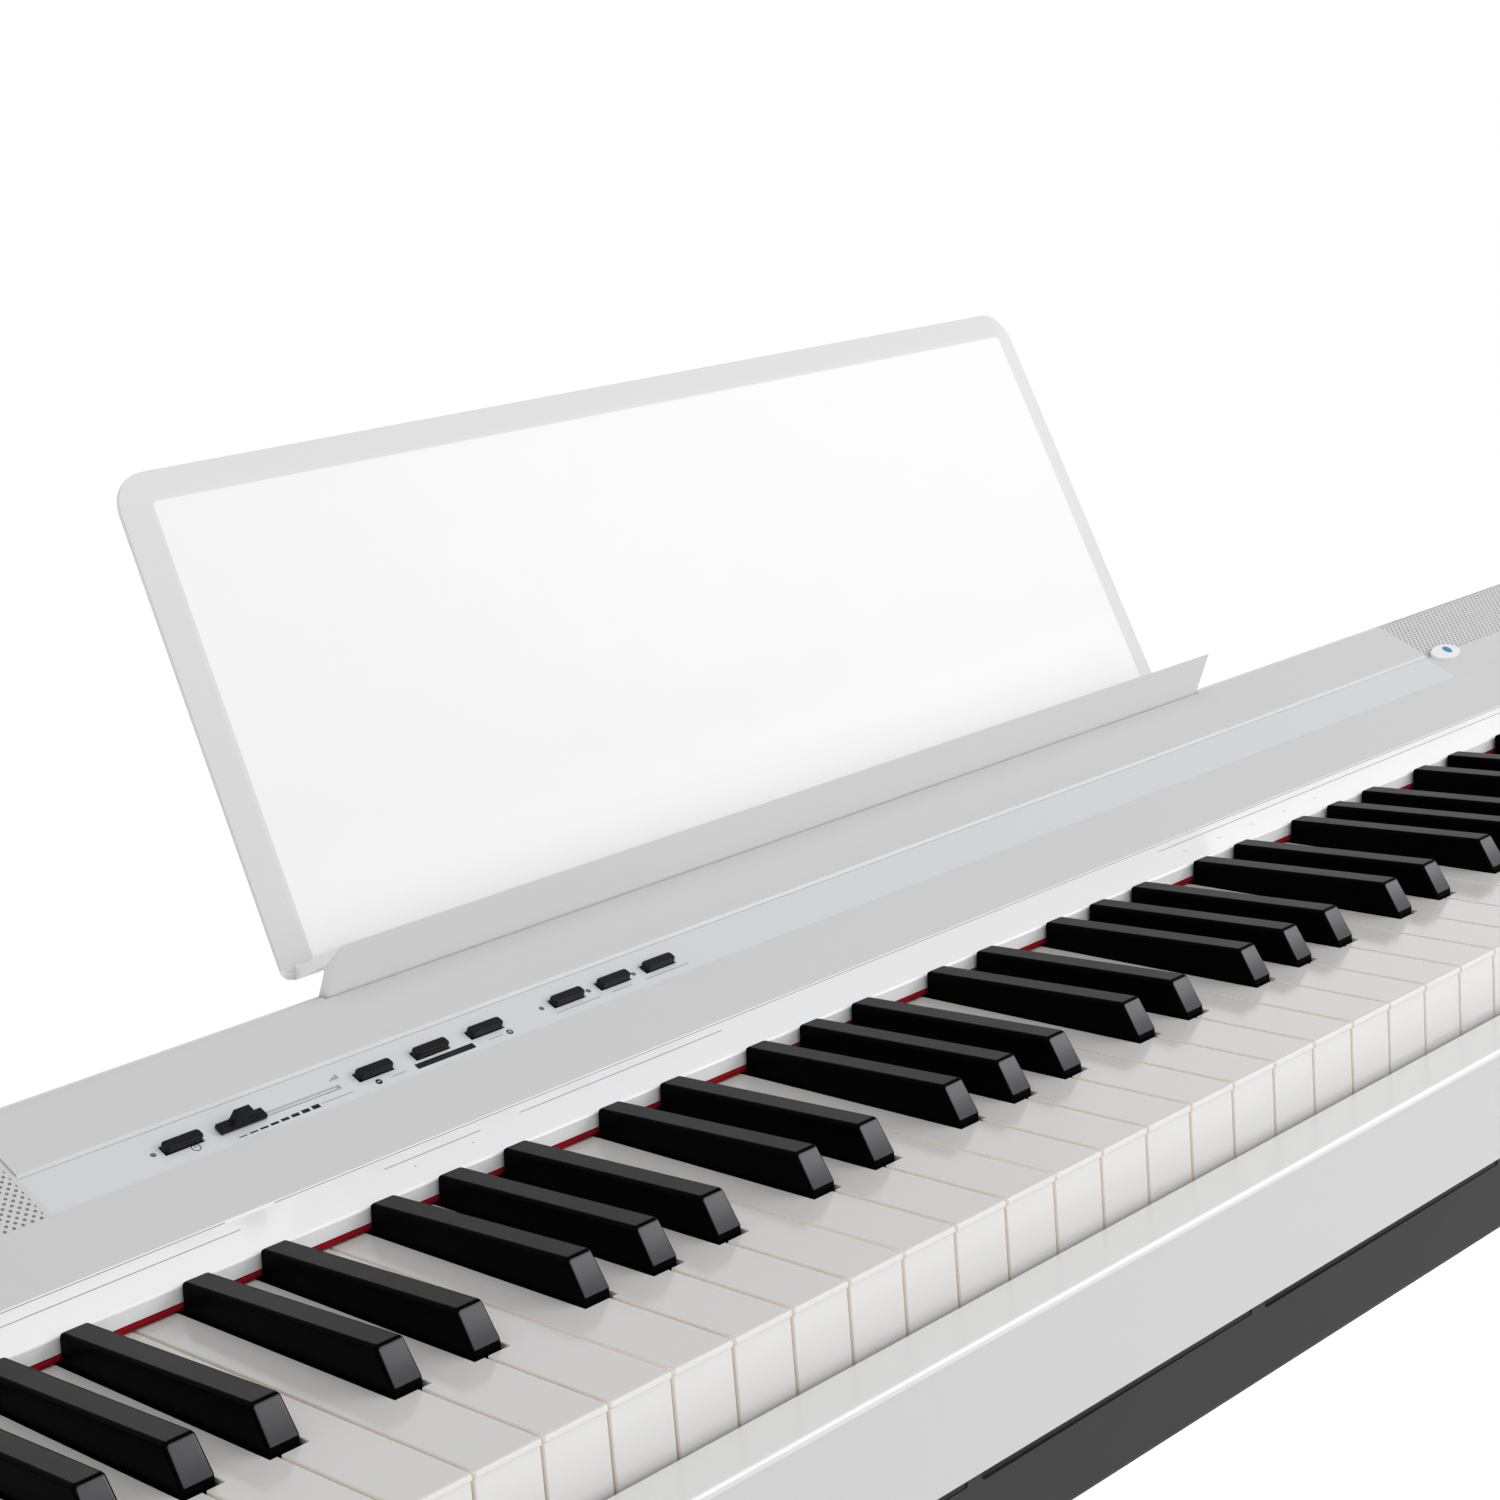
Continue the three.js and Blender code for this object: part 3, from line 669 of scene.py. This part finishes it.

# ---------------------------------------------------------------------------------------------
# Front rail and end blocks: white satin mouldings that close the keybed in front and beside it.
# The end blocks' tops and the rounded edges are polished and painted light as a brighter copy of
# the white plastic, the rail's top is a less bright copy, and the fronts are a darker copy as
# painted shade.

white_shell = surface(
    "white_case_plastic", (0.530, 0.530, 0.532), 0.30, specular=0.5, tint=0.006, grain=0.003,
    grain_scale=1600.0, smear=0.04, patch_scale=6.0,
)
# Painted light: a brighter, glossier copy of the white plastic for the faces that catch the most
# light.
white_painted_light = surface(
    "white_plastic_painted_light", (0.84, 0.84, 0.85), 0.16, specular=0.7, tint=0.005, grain=0.001,
    grain_scale=1600.0, smear=0.03, patch_scale=6.0,
)
# Painted shade: a darker copy of the white plastic for the faces that look forward.
front_painted_shade = surface(
    "white_plastic_painted_shade", (0.47, 0.47, 0.472), 0.34, specular=0.5, tint=0.006, grain=0.003,
    grain_scale=1600.0, smear=0.04, patch_scale=6.0,
)
# Painted light: a brighter copy of the white plastic for the rail's flat top, not as bright as the
# end blocks' tops.
top_of_rail_painted_light = surface(
    "white_plastic_rail_painted_light", (0.65, 0.65, 0.652), 0.2, specular=0.6, tint=0.005, grain=0.001,
    grain_scale=1600.0, smear=0.03, patch_scale=6.0,
)
for node, radius in (("front_rail", 0.3), ("end_block_left", 0.8), ("end_block_right", 0.8)):
    piece = solid_of(node, node + "_moulding")
    soften(piece, radius, 3)
    wear(piece, white_shell, CASE, [node])
    second_finish(piece, white_painted_light, lambda p, n: n.z > 0.6 and p.y < 176)
    second_finish(piece, top_of_rail_painted_light, lambda p, n: n.z > 0.97 and p.y < 0)
    second_finish(piece, front_painted_shade, lambda p, n: n.y < -0.97)

# ---------------------------------------------------------------------------------------------
# Red felt: a pressed strip glued under the fallboard, over the tails of the white keys. It hides
# the gap behind the black keys.

red_felt = surface("red_felt", (0.28, 0.004, 0.008), 0.95, specular=0.1, tint=0.3, grain=0.3,
                   grain_scale=1500.0, stretch=(1, 0.5, 1))
felt = solid_of("key_felt_strip", "red_felt_strip")
soften(felt, 0.5, 3)
wear(felt, red_felt, CASE, ["key_felt_strip"])

# ---------------------------------------------------------------------------------------------
# Upper case: one long white moulding with the fallboard, the flat ledge over the keys, the
# sloping panel and the rear wall, with pockets for the strip, the grilles and the music rest.
# Thin grey lines are printed along the ledge.

LEDGE_Z = 8
PANEL_Y = 174
PANEL_TILT = math.atan(0.474)
panel_frame = Matrix.Translation(at(0, PANEL_Y, LEDGE_Z)) @ Matrix.Rotation(PANEL_TILT, 4, "X")


def seat(piece, place):
    """Moves a piece that was made flat at the keyboard's zero to its place."""
    piece.data.transform(place @ Matrix.Translation(-at(0, 0, 0)))


upper_case = solid_of("upper_case", "upper_case_moulding")
STRIP_POCKET_V = (27.1, 46.6)
STRIP_POCKET_UP = (-2.3, 2)
CHAMFER_V = (46.2, 47.6)
CHAMFER_DEPTH = 1.25
recesses = [
    block("recess_tool", across, STRIP_POCKET_V, STRIP_POCKET_UP)
    for across in ((-391, -385), (396, 405))
]
recesses.append(block("recess_tool", (403.7, 564.3), (72, 76.7), (-2.6, 2)))
chamfer = block("chamfer_tool", (-389.2, 403.7), CHAMFER_V, (-CHAMFER_DEPTH, 0.5))
begin(chamfer)
pick_edges(chamfer, lambda p: p.y > CHAMFER_V[1] - 0.1 and p.z < 0)
bpy.ops.transform.translate(value=(0, 0, CHAMFER_DEPTH * MM))
close()
recesses.append(chamfer)
for recess in recesses:
    seat(recess, panel_frame)
carve(upper_case, recesses)
soften(upper_case, 0.7, 2)
wear(upper_case, white_shell, CASE, ["upper_case"])
# Painted light: the flat ledge over the keys and the fallboard's face take the brighter copy of the
# white plastic.
second_finish(upper_case, white_painted_light, lambda p, n: n.z > 0.93 and 147 < p.y < 175.5)
second_finish(upper_case, white_painted_light, lambda p, n: p.y < 147.6 and p.z > 2.7)

INK = 0.03
grey_ink = surface("grey_print", (0.24, 0.24, 0.25), 0.45, tint=0.03, grain=0.001)


def about(middle, length):
    """The range of this length around a middle."""
    return middle - length / 2, middle + length / 2


def crown(piece, rim, rise=0.0, axis=2):
    """Insets the end face that looks up, or back with axis=1, by a rim, and raises it."""
    begin(piece)
    pick_faces(piece, lambda p, n: n[axis] > 0.9)
    bpy.ops.mesh.inset(thickness=rim * MM, depth=rise * MM)
    close()


def mark(across, back, foot):
    """A patch of ink on a flat face, as wide and deep as given."""
    patch = block("print_mark", across, back, (foot - 0.05, foot + INK))
    crown(patch, 0.02)
    return patch


lines = [
    mark((-610, -346.8), (173.5, 174.0), LEDGE_Z + 0.12),
    mark((-328.1, 610), (173.5, 174.0), LEDGE_Z + 0.12),
    mark((-610, -347.1), (165.1, 165.65), LEDGE_Z),
    mark((-291, -251), (166.0, 166.55), LEDGE_Z),
    mark((-232.7, -138), (167.2, 167.75), LEDGE_Z),
    mark((118, 610), (167.7, 168.25), LEDGE_Z),
]
lines += [mark(about(x, 0.7), (159.6, 160.3), LEDGE_Z) for x in (-283.5, -259.5)]
lines += [mark(about(x, 0.5), (157.6, 159.6), LEDGE_Z) for x in (124, 147.5, 171, 194.5, 218)]
ledge_prints = join(lines, "ledge_prints")
wear(ledge_prints, grey_ink, CASE)

# ---------------------------------------------------------------------------------------------
# Jack plate: black plastic in the rear wall, with four round sockets in nickel collars, the first
# of them the power inlet with its centre pin, and a data port with its contact tongue.

nickel = surface("nickel_plate", (0.62, 0.60, 0.57), 0.25, metallic=1.0, tint=0.05, smear=0.12,
                 grain=0.004)


def rod(name, middle, radius, length, sides, axis="z"):
    """A round bar; its middle is in keyboard millimetres, and it lies along y or z."""
    turn = (math.radians(90), 0, 0) if axis == "y" else (0, 0, 0)
    bpy.ops.mesh.primitive_cylinder_add(
        vertices=sides, radius=radius * MM, depth=length * MM, location=at(*middle), rotation=turn,
    )
    piece = bpy.context.object
    piece.name = piece.data.name = name
    settle(piece)
    return piece


SOCKETS_X = (-270, -240, -210, -180)
SOCKET_Z = -30
jack_plate = solid_of("jack_panel", "jack_plate")
soften(jack_plate, 0.3, 2)
wear(jack_plate, black_shell, CASE, ["jack_panel"])
for number, x in enumerate(SOCKETS_X):
    collar = rod(f"socket_collar_{number}", (x, 256.6, SOCKET_Z), 5.2, 1.6, 24, "y")
    begin(collar)
    pick_faces(collar, lambda p, n: n.y > 0.9)
    bpy.ops.mesh.inset(thickness=1.9 * MM)
    pull(0, -1.2, 0)
    close()
    soften(collar, 0.25, 2)
    wear(collar, nickel, CASE)
inlet_pin = rod("inlet_pin", (SOCKETS_X[0], 249, SOCKET_Z), 0.9, 14, 12, "y")
crown(inlet_pin, 0.4, 0.4, axis=1)
soften(inlet_pin, 0.0)
wear(inlet_pin, nickel, CASE)
port_tongue = block("data_port_tongue", (-145.4, -136.6), (240, 253), (-31.2, -28.8))
crown(port_tongue, 0.5, 0.5, axis=1)
soften(port_tongue, 0.2, 2)
wear(port_tongue, black_shell, CASE)

# ---------------------------------------------------------------------------------------------
# Speaker grilles and drivers: a perforated plate in a thin frame lies in each pocket of the
# panel, over an oval driver with a paper cone.

HOLE_RADIUS = 0.66
CELL = (3.2, 1.75)
SHEET_MARGIN = (0.2, 0.6)
SHEET_THICK = 0.9


def hole_grid(across, back):
    """The cell that fills a pocket with whole rows of holes, and how many there are."""
    length = across[1] - across[0] - 2 * SHEET_MARGIN[0]
    depth = back[1] - back[0] - 2 * SHEET_MARGIN[1]
    columns = round(length / CELL[0] - 0.5)
    rows = round(depth / CELL[1] / 2)
    wide = length / (columns + 0.5)
    deep = depth / rows / 2
    return columns, rows, wide, deep


def perforated(name, across, back, top):
    """A sheet of staggered holes: one cell is modelled and repeated."""
    columns, rows, wide, deep = hole_grid(across, back)
    first = at(
        across[0] + SHEET_MARGIN[0] + wide / 2, back[0] + SHEET_MARGIN[1] + deep / 2, top
    )
    bpy.ops.mesh.primitive_circle_add(vertices=8, radius=HOLE_RADIUS * MM, location=first)
    sheet = bpy.context.object
    sheet.name = sheet.data.name = name
    settle(sheet)
    begin(sheet)
    bpy.ops.mesh.select_mode(type="EDGE")
    bpy.ops.mesh.select_all(action="SELECT")
    bpy.ops.mesh.extrude_region_move()
    mesh = bmesh.from_edit_mesh(sheet.data)
    for corner in mesh.verts:
        if corner.select:
            turn = corner.co - first
            corner.co.x += (round(turn.x / turn.length) * wide / 2) * MM - turn.x
            corner.co.y += (round(turn.y / turn.length) * deep / 2) * MM - turn.y
    bmesh.update_edit_mesh(sheet.data)
    close()
    for count, step in ((columns, (wide, 0)), (2, (wide / 2, deep)), (rows, (0, deep * 2))):
        apply_modifier(
            sheet, "ARRAY", count=count, use_relative_offset=False, use_constant_offset=True,
            constant_offset_displace=(step[0] * MM, step[1] * MM, 0), use_merge_vertices=True,
            merge_threshold=0.01 * MM,
        )
    begin(sheet)
    bpy.ops.mesh.select_all(action="SELECT")
    bpy.ops.mesh.remove_doubles(threshold=0.01 * MM)
    bpy.ops.mesh.normals_make_consistent(inside=False)
    close()
    if sheet.data.polygons[0].normal.z < 0:
        sheet.data.flip_normals()
    apply_modifier(sheet, "SOLIDIFY", thickness=SHEET_THICK * MM, offset=-1)
    return sheet


def ring(name, across, back, up, edges):
    """A flat frame; edges gives its width at the left, right, front and rear."""
    frame_ring = block(name, across, back, up)
    window = block(
        "window_tool", (across[0] + edges[0], across[1] - edges[1]),
        (back[0] + edges[2], back[1] - edges[3]), (up[0] - 1, up[1] + 1),
    )
    carve(frame_ring, [window])
    return frame_ring


cone_paper = surface("cone_paper", (0.02, 0.02, 0.021), 0.8, specular=0.3, tint=0.3, grain=0.2,
                     grain_scale=900.0)
dust_cloth = surface("dust_cloth", (0.42, 0.42, 0.43), 0.9, specular=0.1, tint=0.1, grain=0.1)
for side, across, back, sunk in (
    ("left", (-549.78, -389.22), (27.12, 72.88), -0.6),
    ("right", (403.72, 564.28), (46.0, 76.6), -1.6),
):
    repaint("speaker_" + side, cone_paper)
    wide = hole_grid(across, back)[2]
    edges = (0.3 + wide / 2, 0.3 + wide / 2, 0.75, 0.75)
    rim = ring("grille_frame_" + side, across, back, (-2.5, sunk + 0.05), edges)
    soften(rim, 0.1, 1)
    seat(rim, panel_frame)
    wear(rim, white_shell, CASE, ["speaker_grille_" + side])
    sheet = perforated("grille_sheet_" + side, across, back, sunk)
    seat(sheet, panel_frame)
    wear(sheet, white_shell, CASE)
    inner = [(low + 0.3, high - 0.3) for low, high in (across, back)]
    cloth = block("grille_cloth_" + side, *inner, (sunk - 1.7, sunk - 1.0))
    crown(cloth, 3.5, 0.1)
    seat(cloth, panel_frame)
    wear(cloth, dust_cloth, CASE)
band = block("grille_band", (403.4, 564.28), (27.12, 46.3), (-2.25, -1.2))
crown(band, 0.3, 0.1)
soften(band, 0.0)
seat(band, panel_frame)
wear(band, white_shell, CASE)

# ---------------------------------------------------------------------------------------------
# Badge: a plain white oval plate with a blue dot, both moulded plastic. It is glued at the right
# end of the strip.

badge = rod("badge_plate", (418, 45, -0.4), 1, 1.6, 32)
begin(badge)
bpy.ops.mesh.select_all(action="SELECT")
bpy.ops.transform.resize(value=(11, 5.2, 1))
close()
crown(badge, 0.7, 0.25)
soften(badge, 0.1, 2)
seat(badge, panel_frame)
badge_white = surface("badge_white", (0.72, 0.72, 0.73), 0.2, tint=0.01, grain=0.001)
wear(badge, badge_white, CASE)
dot = rod("badge_dot", (420, 45.4, 0.65), 2.5, 0.5, 24)
crown(dot, 0.8, 0.25)
soften(dot, 0.0)
seat(dot, panel_frame)
badge_blue = surface("badge_blue", (0.0, 0.22, 0.42), 0.25, tint=0.05, grain=0.001)
wear(dot, badge_blue, CASE)

# ---------------------------------------------------------------------------------------------
# Control strip: a semi-gloss plate sunk in its pocket and open for the buttons, the slider and
# four lamps, printed in black and grey. Under the slider's slot are two soft pale lips that its
# stalk parts.

STRIP_TOP = -1.2
BUTTON_V = 36.8
BUTTONS = {
    "power_button": -336.2,
    "media_back_button": -259.5,
    "media_play_button": -235.3,
    "media_next_button": -211.1,
    "tone_button": -172.9,
    "effect_button": -150.6,
    "metronome_button": -128.4,
}
LAMPS_X = (-346.8, -184.6, -162.4, -140.4)
SLIDER_X = -314
SLIDER_V = 36

ICONS_X = (-262.1, -204.7)
POWER_ICON = (-334.2, 32.25)
PRINT_SHIFT = 1.1
strip_plastic = surface(
    "control_strip_plastic", (0.570, 0.585, 0.600), 0.16, tint=0.004, grain=0.001, smear=0.04,
)
strip = block("control_strip_plate", (-389.3, 404.9), (27.12, 46.58), (-2.0, STRIP_TOP))
openings = [
    block("keyway_tool", about(x, 14.8), about(BUTTON_V, 4.5), (-4, 1)) for x in BUTTONS.values()
]
openings.append(block("slot_tool", (-322.5, -274), about(SLIDER_V, 2), (-4, 1)))
openings += [rod("lamp_tool", (x, BUTTON_V, -1.5), 1.0, 5, 16) for x in LAMPS_X]
carve(strip, openings)
soften(strip, 0.15, 2)
seat(strip, panel_frame)
wear(strip, strip_plastic, CASE, ["control_strip"])

shutter = ring("slider_shutter", (-325, -271.5), (33.6, 38.4), (-2.7, -2.05), (3, 3, 2.25, 2.25))
soften(shutter, 0.1, 1)
seat(shutter, panel_frame)
wear(shutter, strip_plastic, CASE)

black_ink = surface("black_print", (0.012, 0.012, 0.013), 0.4, specular=0.15, tint=0.1, grain=0.001)
dashes = [
    mark(about(-317.9 + 4.2 * i, 3.1), (29.5, 29.9 + 0.2 * i), STRIP_TOP) for i in range(8)
]
icons = [rod("disc", (x, 30.8, STRIP_TOP), 1.25, 0.1, 16) for x in ICONS_X]
bar = mark((-246, -220.6), (29.7, 32.2), STRIP_TOP)
arc = block(
    "power_icon", about(POWER_ICON[0], 0.3), (30.6, 30.9), (STRIP_TOP - 0.05, STRIP_TOP + INK)
)
begin(arc)
pick_faces(arc, lambda p, n: n.x > 0.9)
bpy.ops.mesh.spin(
    steps=12, angle=math.radians(-300), center=at(*POWER_ICON, 0), axis=(0, 0, 1)
)
bpy.ops.mesh.select_all(action="SELECT")
bpy.ops.transform.rotate(
    value=math.radians(150), orient_axis="Z", center_override=at(*POWER_ICON, 0)
)
close()
stroke = mark(about(POWER_ICON[0], 0.3), (32.3, 34.1), STRIP_TOP)
strip_prints = join(dashes + icons + [bar, arc, stroke], "strip_prints")
print_frame = panel_frame @ Matrix.Translation(Vector((PRINT_SHIFT, PRINT_SHIFT, 0)) * MM)
seat(strip_prints, print_frame)
wear(strip_prints, black_ink, CASE)
fine_marks = [mark(about(x, 1.5), (30.65, 30.95), STRIP_TOP + 0.06) for x in ICONS_X]
fine_marks.append(mark(about(ICONS_X[1], 0.3), (30.05, 31.55), STRIP_TOP + 0.06))
minus_and_plus = join(fine_marks, "minus_and_plus")
seat(minus_and_plus, print_frame)
wear(minus_and_plus, strip_plastic, CASE)
soft_lines = [
    mark(span, (v, v + 0.3), STRIP_TOP)
    for span, v in (
        ((-286, -273), 30.6), ((-256.5, -250.5), 30.7), ((-214, -208), 30.7),
        ((-182.5, -161.5), 31.0), ((-156, -146.5), 31.0), ((-139.5, -118), 31.0),
    )
]
soft_lines += [
    mark((-276.6 + i, -275.9 + i), (38.4, 39.0 + 0.5 * i), STRIP_TOP) for i in range(4)
]
label_lines = join(soft_lines, "label_lines")
seat(label_lines, print_frame)
wear(label_lines, grey_ink, CASE)

# ---------------------------------------------------------------------------------------------
# Buttons and slider: glossy black caps with rounded ends and edges; each button has a flange that
# stops it under the strip and a stem that reaches its switch.

BUTTON_HALF = 7.2
BUTTON_DEPTH = 4.0
BUTTON_TOP = 1.2
SLIDER_LENGTH = 17.8
SLIDER_TOP = 1.1
GRIP_TOP = 4.7
button_black = surface("button_plastic", (0.004, 0.004, 0.005), 0.22, specular=0.16, tint=0.2,
                       grain=0.001)
cap = block(
    "button_cap", (-BUTTON_HALF, BUTTON_HALF), about(BUTTON_V, BUTTON_DEPTH), (-3.4, BUTTON_TOP)
)
begin(cap)
for side in (-1, 1):
    for face in (-1, 1):
        pick_edges(
            cap,
            lambda p: p.x * side > BUTTON_HALF - 0.1
            and (p.y - BUTTON_V) * face > BUTTON_DEPTH / 2 - 0.2,
        )
        bpy.ops.mesh.bevel(offset=1.3 * MM, segments=4, affect="EDGES")
pick_edges(cap, lambda p: p.z > BUTTON_TOP - 0.1)
bpy.ops.mesh.bevel(offset=0.5 * MM, segments=3, affect="EDGES")
close()
flange = block("flange", (-8.2, 8.2), about(BUTTON_V, 7), (-3.4, -2.4))
stem = block("stem", (-2, 2), about(BUTTON_V, 3), (-6.5, -3))
carve(cap, [flange, stem], "UNION")
soften(cap, 0.2, 2)
for node, x in BUTTONS.items():
    button = copy_of(cap, node + "_cap", (x, 0, 0))
    seat(button, panel_frame)
    wear(button, button_black, node, [node])
bpy.data.objects.remove(cap)

slider = block(
    "volume_slider_cap", about(SLIDER_X, SLIDER_LENGTH), about(SLIDER_V, 4.0), (-0.9, SLIDER_TOP)
)
begin(slider)
pick_edges(slider, lambda p: p.z > SLIDER_TOP - 0.1)
bpy.ops.mesh.bevel(offset=0.6 * MM, segments=2, affect="EDGES")
close()
grip = block("grip", about(SLIDER_X, 8.2), about(SLIDER_V, 3.4), (0.3, GRIP_TOP))
begin(grip)
pick_faces(grip, lambda p, n: n.z > 0.9)
bpy.ops.transform.resize(value=(0.72, 0.85, 1))
close()
stalk = block("stalk", about(SLIDER_X, 5), about(SLIDER_V, 1.2), (-8, 0))
carve(slider, [grip, stalk], "UNION")
soften(slider, 0.35, 3)
seat(slider, panel_frame)
wear(slider, button_black, "volume_slider_knob", ["volume_slider_knob"])

# ---------------------------------------------------------------------------------------------
# Circuit boards: green boards with black chips and switches, and four clear lamps that reach
# up into the strip.

chip_black = surface("chip_epoxy", (0.018, 0.018, 0.02), 0.55, tint=0.15, grain=0.02)
main_circuit = solid_of("main_board", "main_circuit")
soften(main_circuit, 0.1, 1)
wear(main_circuit, circuit, CASE, ["main_board"])
second_finish(main_circuit, chip_black, lambda p, n: p.z > -82.3)
button_circuit = block("button_circuit", (-354, -112), (28, 45), (-15, -13.4))
switches = [
    block("switch", about(x, 6), about(BUTTON_V, 6), (-14, -8)) for x in BUTTONS.values()
]
carve(button_circuit, switches, "UNION")
soften(button_circuit, 0.2, 1)
wear(button_circuit, circuit, CASE, ["button_board"])
second_finish(button_circuit, chip_black, lambda p, n: p.z > -13.3)
seat(button_circuit, panel_frame)
lamp_lens = surface("lamp_lens", (0.10, 0.10, 0.105), 0.12, specular=0.6, tint=0.05, grain=0.001)
for number, x in enumerate(LAMPS_X):
    lamp = rod(f"indicator_lamp_{number}", (x, BUTTON_V, -7.4), 0.85, 12.2, 12)
    crown(lamp, 0.35, 0.12)
    soften(lamp, 0.0)
    seat(lamp, panel_frame)
    wear(lamp, lamp_lens, CASE)

# ---------------------------------------------------------------------------------------------
# Music rest: one white moulding, a tongue that drops into the case's slot, a narrow shelf, and
# a board whose face stands proud of a sloping border.

REST_HALF = 249.9
BOARD_HEIGHT = 182.6
BOARD_THICK = 4
BORDER = 11.5
BORDER_FALL = 2.2
FACE_RISE = 0.7
rest_plastic = surface(
    "music_rest_plastic", (0.70, 0.70, 0.705), 0.40, tint=0.004, grain=0.010, grain_scale=1100.0,
)
# Painted shade: the sloping border is a darker copy of the rest's plastic, because it tilts away
# from the light.
board_border_painted_shade = surface(
    "music_rest_painted_shade_border", (0.59, 0.59, 0.592), 0.45, tint=0.004, grain=0.012, grain_scale=1100.0,
)
board_frame = (
    Matrix.Translation(at(0, 263, 45.7)) @ Matrix.Rotation(math.radians(90 - 24.1), 4, "X")
)
rest = solid_of("music_rest", "music_rest_moulding")
board_tool = block("board_tool", (-260, 260), (0.6, 200), (-6, 6))
seat(board_tool, board_frame)
carve(rest, [board_tool])
begin(rest)
pick_edges(rest, lambda p: p.z > 53 and p.y < 240)
bpy.ops.transform.resize(value=(0.991, 1, 1))
pick_edges(rest, lambda p: p.y > 250)
bpy.ops.transform.resize(value=(0.982, 1, 1))
close()
board = block(
    "board", (-REST_HALF, REST_HALF), (-3.6, BOARD_HEIGHT), (0.02 - BOARD_THICK, -BORDER_FALL)
)
begin(board)
for side in (-1, 1):
    pick_edges(board, lambda p: p.x * side > 240 and p.y > 180)
    bpy.ops.mesh.bevel(offset=14 * MM, segments=7, affect="EDGES")
pick_faces(board, lambda p, n: n.z > 0.9)
bpy.ops.mesh.inset(thickness=BORDER * MM, depth=(BORDER_FALL + FACE_RISE) * MM)
pick_edges(board, lambda p: p.z > -0.1 and p.y < 20)
bpy.ops.transform.translate(value=(0, -7 * MM, 0))
for side in (-1, 1):
    pick_edges(board, lambda p: p.x * side > REST_HALF - 1 and p.y < -2)
    bpy.ops.mesh.bevel(offset=4 * MM, segments=4, affect="EDGES")
pick_edges(board, lambda p: p.z > -0.1)
bpy.ops.mesh.bevel(offset=1.6 * MM, segments=3, affect="EDGES")
pick_edges(board, lambda p: p.y > 150)
bpy.ops.transform.resize(value=(245.3 / REST_HALF, 1, 1))
close()
seat(board, board_frame)
carve(rest, [board], "UNION")
soften(rest, 0.9, 3)
wear(rest, rest_plastic, "music_rest", ["music_rest"])
# The border's sloping faces take the painted shade.
second_finish(
    rest, board_border_painted_shade, lambda p, n: p.z > 46 and p.y > 258 and (abs(n.x) > 0.08 or n.z > 0.5)
)

# ---------------------------------------------------------------------------------------------
# Stand: laminated boards with banded edges, plastic pads under the feet, cover caps over the
# bolts, coated steel angles under the case, and four fluted hand knobs.

laminate = surface("white_laminate", (0.56, 0.56, 0.555), 0.34, tint=0.012, grain=0.012,
                   grain_scale=500.0, stretch=(1, 1, 0.15))
pad_plastic = surface("pad_plastic", (0.05, 0.05, 0.052), 0.6, tint=0.1, grain=0.02)
for node in (
    "stand_foot_left", "stand_foot_right", "stand_side_left", "stand_side_right",
    "stand_back_board", "stand_stretcher",
):
    panel = solid_of(node, node + "_panel")
    soften(panel, 1.0, 3)
    wear(panel, laminate, CASE, [node])
    second_finish(panel, pad_plastic, lambda p, n: p.z < -735.9)

coated_steel = surface("coated_steel", (0.030, 0.030, 0.031), 0.5, specular=0.5, tint=0.08,
                       grain=0.03, grain_scale=1300.0)
for hand in ("left", "right"):
    angle = solid_of("stand_bracket_" + hand, "steel_angle_" + hand)
    soften(angle, 0.6, 3)
    wear(angle, coated_steel, CASE, ["stand_bracket_" + hand])

KNOB_SIDES = 20
KNOB_LENGTH = 16
CORE_RADIUS = 13.1
RIB_RADIUS = 14


def on_rib(p, n):
    """Whether a face is every second one of the knob's sides."""
    turn = math.atan2(p.y, p.x) / math.radians(360 / KNOB_SIDES)
    return abs(n.z) < 0.1 and round(turn - 0.5) % 2 == 0


knob = rod("knob", (0, 0, -KNOB_LENGTH / 2), CORE_RADIUS, KNOB_LENGTH, KNOB_SIDES)
begin(knob)
pick_faces(knob, on_rib)
bpy.ops.mesh.inset(thickness=0.6 * MM, depth=0.0, use_individual=True)
bpy.ops.transform.resize(value=(RIB_RADIUS / CORE_RADIUS, RIB_RADIUS / CORE_RADIUS, 0.9))
pick_faces(knob, lambda p, n: n.z < -0.9)
bpy.ops.mesh.inset(thickness=3 * MM, depth=-0.8 * MM)
pick_faces(knob, lambda p, n: n.z > 0.9)
bpy.ops.mesh.inset(thickness=10 * MM)
pull(0, 0, 16)
bpy.ops.mesh.inset(thickness=0.5 * MM, depth=0.5 * MM)
close()
soften(knob, 0.35, 2)
for node, x, y in (
    ("knob_bolt_front_left", -585, 70), ("knob_bolt_rear_left", -585, 190),
    ("knob_bolt_front_right", 585, 70), ("knob_bolt_rear_right", 585, 190),
):
    bolt = copy_of(knob, node + "_knob", (x, y, -98.6))
    wear(bolt, pad_plastic, CASE, [node])
    second_finish(bolt, brushed_steel, lambda p, n: p.z > -98.3)
bpy.data.objects.remove(knob)

COVER_X = 636.2
COVER_PLACES = [(214.5, -150), (214.5, -225), (159, -650), (159, -610)]
cover = rod("cover_cap", (0, 0, 0), 6, 0.8, 20)
crown(cover, 1.2, 0.25)
soften(cover, 0.0)
for hand, side in (("left", -1), ("right", 1)):
    for number, (y, z) in enumerate(COVER_PLACES):
        cap = copy_of(cover, f"cover_cap_{hand}_{number}")
        cap.data.transform(
            Matrix.Translation(at(side * COVER_X, y, z))
            @ Matrix.Rotation(side * math.radians(90), 4, "Y")
            @ Matrix.Translation(-at(0, 0, 0))
        )
        wear(cap, laminate, CASE)
bpy.data.objects.remove(cover)

low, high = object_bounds()
